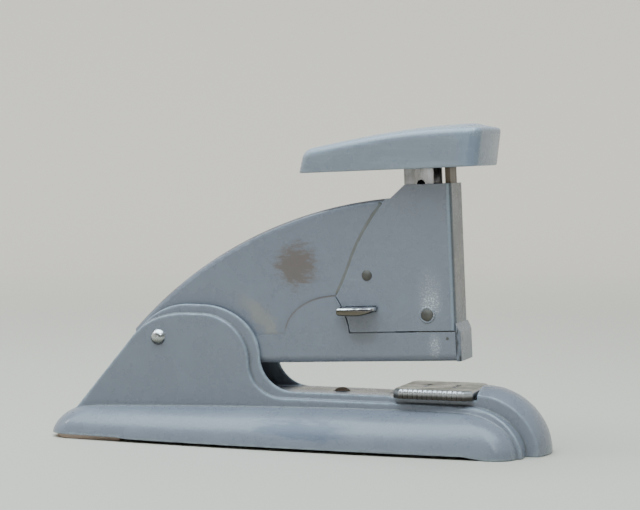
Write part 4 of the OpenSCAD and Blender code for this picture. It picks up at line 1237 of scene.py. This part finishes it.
# Patches of wear and grime, one of them partly a painted shadow: centre, radii in millimetres, colour,
# amount, grain and stretch of the grain
WIDE = (0.25, 1.0, 1.0)
SMEARED = (0.35, 1.0, 1.0)
EVEN = (1.0, 1.0, 1.0)
base_patches = (
    (place(12, -36, 11.5), (36, 14, 8.5), SCUFF, 0.7, 330.0, WIDE),
)
arm_patches = (
    (place(1.6, -10.9, 94.2), (16.5, 7, 17.0), BROWN_METAL, 0.95, 430.0, SMEARED),
)
cover_patches = (
    # Under the latch tab: partly grime, partly a painted shadow of the tab
    (place(37.0, -12.2, 58.0), (11, 5, 7.0), GRIME_AND_SHADE, 0.3, 60.0, EVEN),
)
knob_patches = (
    (place(46.0, -8.0, 159.6), (12, 7, 1.0), GRIME_AND_SHADE, 0.8, 200.0, WIDE),
)

# The whole picture

make_camera()
make_floor()
make_lights()
skin(make_base(), enamel("base_enamel", base_patches))
skin(make_knob(), enamel("knob_enamel", knob_patches, edge_amount=0.5, extra=knob_wear_and_painted_light))
head_paint = enamel("head_enamel", extra=head_wear_and_painted_light)
for node, body, width, paint in (
    ("arm_shell", "arm", 0.35, enamel("arm_enamel", arm_patches, extra=worn_arm)),
    ("head_shell", "arm", 0.7, head_paint),
    ("magazine_cover", "magazine", 0.4, enamel("magazine_enamel", cover_patches, extra=cover_arch_line_and_glint)),
    ("front_plate", "arm", 0.5, enamel("nose_enamel", extra=scratched_plate, edge_amount=0.8)),
):
    skin(rounded_copy(node, body, width), paint)
skin(make_paint_ring(), head_paint)

chrome = metal("chrome", (0.58, 0.58, 0.60), (0.14, 0.13, 0.12), 0.22, metallic=0.6,
               stretch=(1.0, 1.0, 0.08), dirt=0.8)
domed = domed_chrome("domed_chrome")
bright = metal("bright_plate", (0.78, 0.78, 0.78), (0.34, 0.30, 0.27), 0.10, dirt=0.25)
steel = metal("plain_steel", (0.40, 0.38, 0.36), (0.14, 0.115, 0.09), 0.32, dirt=0.7)
browned = metal("browned_steel", (0.13, 0.108, 0.088), (0.05, 0.038, 0.028), 0.30, stretch=(1.0, 1.0, 0.1),
                dirt=0.85)
rusty = metal("rusty_steel", (0.17, 0.125, 0.095), (0.085, 0.050, 0.032), 0.62, metallic=0.45, dirt=0.9)
dull = metal("dull_rivet", (0.120, 0.110, 0.098), (0.060, 0.054, 0.047), 0.50, metallic=0.4, dirt=0.8)
rubber = metal("old_rubber", (0.46, 0.345, 0.29), (0.285, 0.20, 0.158), 0.75, metallic=0.0)
fillet = metal("filled_seam", (0.132, 0.131, 0.127), (0.105, 0.100, 0.092), 0.5, metallic=0.0, dirt=0.8)

for node, body, slot, width, coat in (
    ("plunger_channel", "plunger", "chrome", 0.35, chrome),
    ("driver_bar", "plunger", "dull_steel", 0.3, browned),
    ("rear_foot_pad", "base", "rubber", 0.7, rubber),
    ("head_rivets", "arm", "rusty", 0.2, dull),
    ("hinge_pin", "base", "chrome", 0.15, domed),
    ("hinge_pin_cap", "base", "chrome", 0.15, domed),
):
    skin(rounded_copy(node, body, width), coat)
for node, body, joint, axis, travel in (
    ("arm_spring", "base", "arm_press", (0.0, 0.0, 1.0), ARM_SPRING_TRAVEL),
    ("plunger_spring", "arm", "plunger_press", LEVEL_UP, PLUNGER_TRAVEL),
    ("latch_spring", "arm", "latch_pull", tuple(-c for c in LEVEL_OUT), LATCH_TRAVEL),
    ("pusher_spring", "magazine", "pusher_back", LEVEL_OUT, PUSHER_TRAVEL),
):
    skin(make_coil(node, body), steel)
skin(make_leaf(), steel)
skin(make_latch(), tab_plating("tab_chrome"))
skin(make_anvil(), milled_plate("milled_nickel"))
for name, side in (("seam_near", -1), ("seam_far", 1)):
    skin(make_seam(name, side), fillet)
coats = {
    "chrome": bright, "steel": steel, "dull_steel": browned,
    "rusty": rusty, "rubber": rubber, "enamel": steel,
}
for row in frame["record"]["subparts"]:
    node = frame["nodes"][row["node"]]
    skin(node, dull if row["node"] == "channel_rivets" else coats[row["material_slot"]])
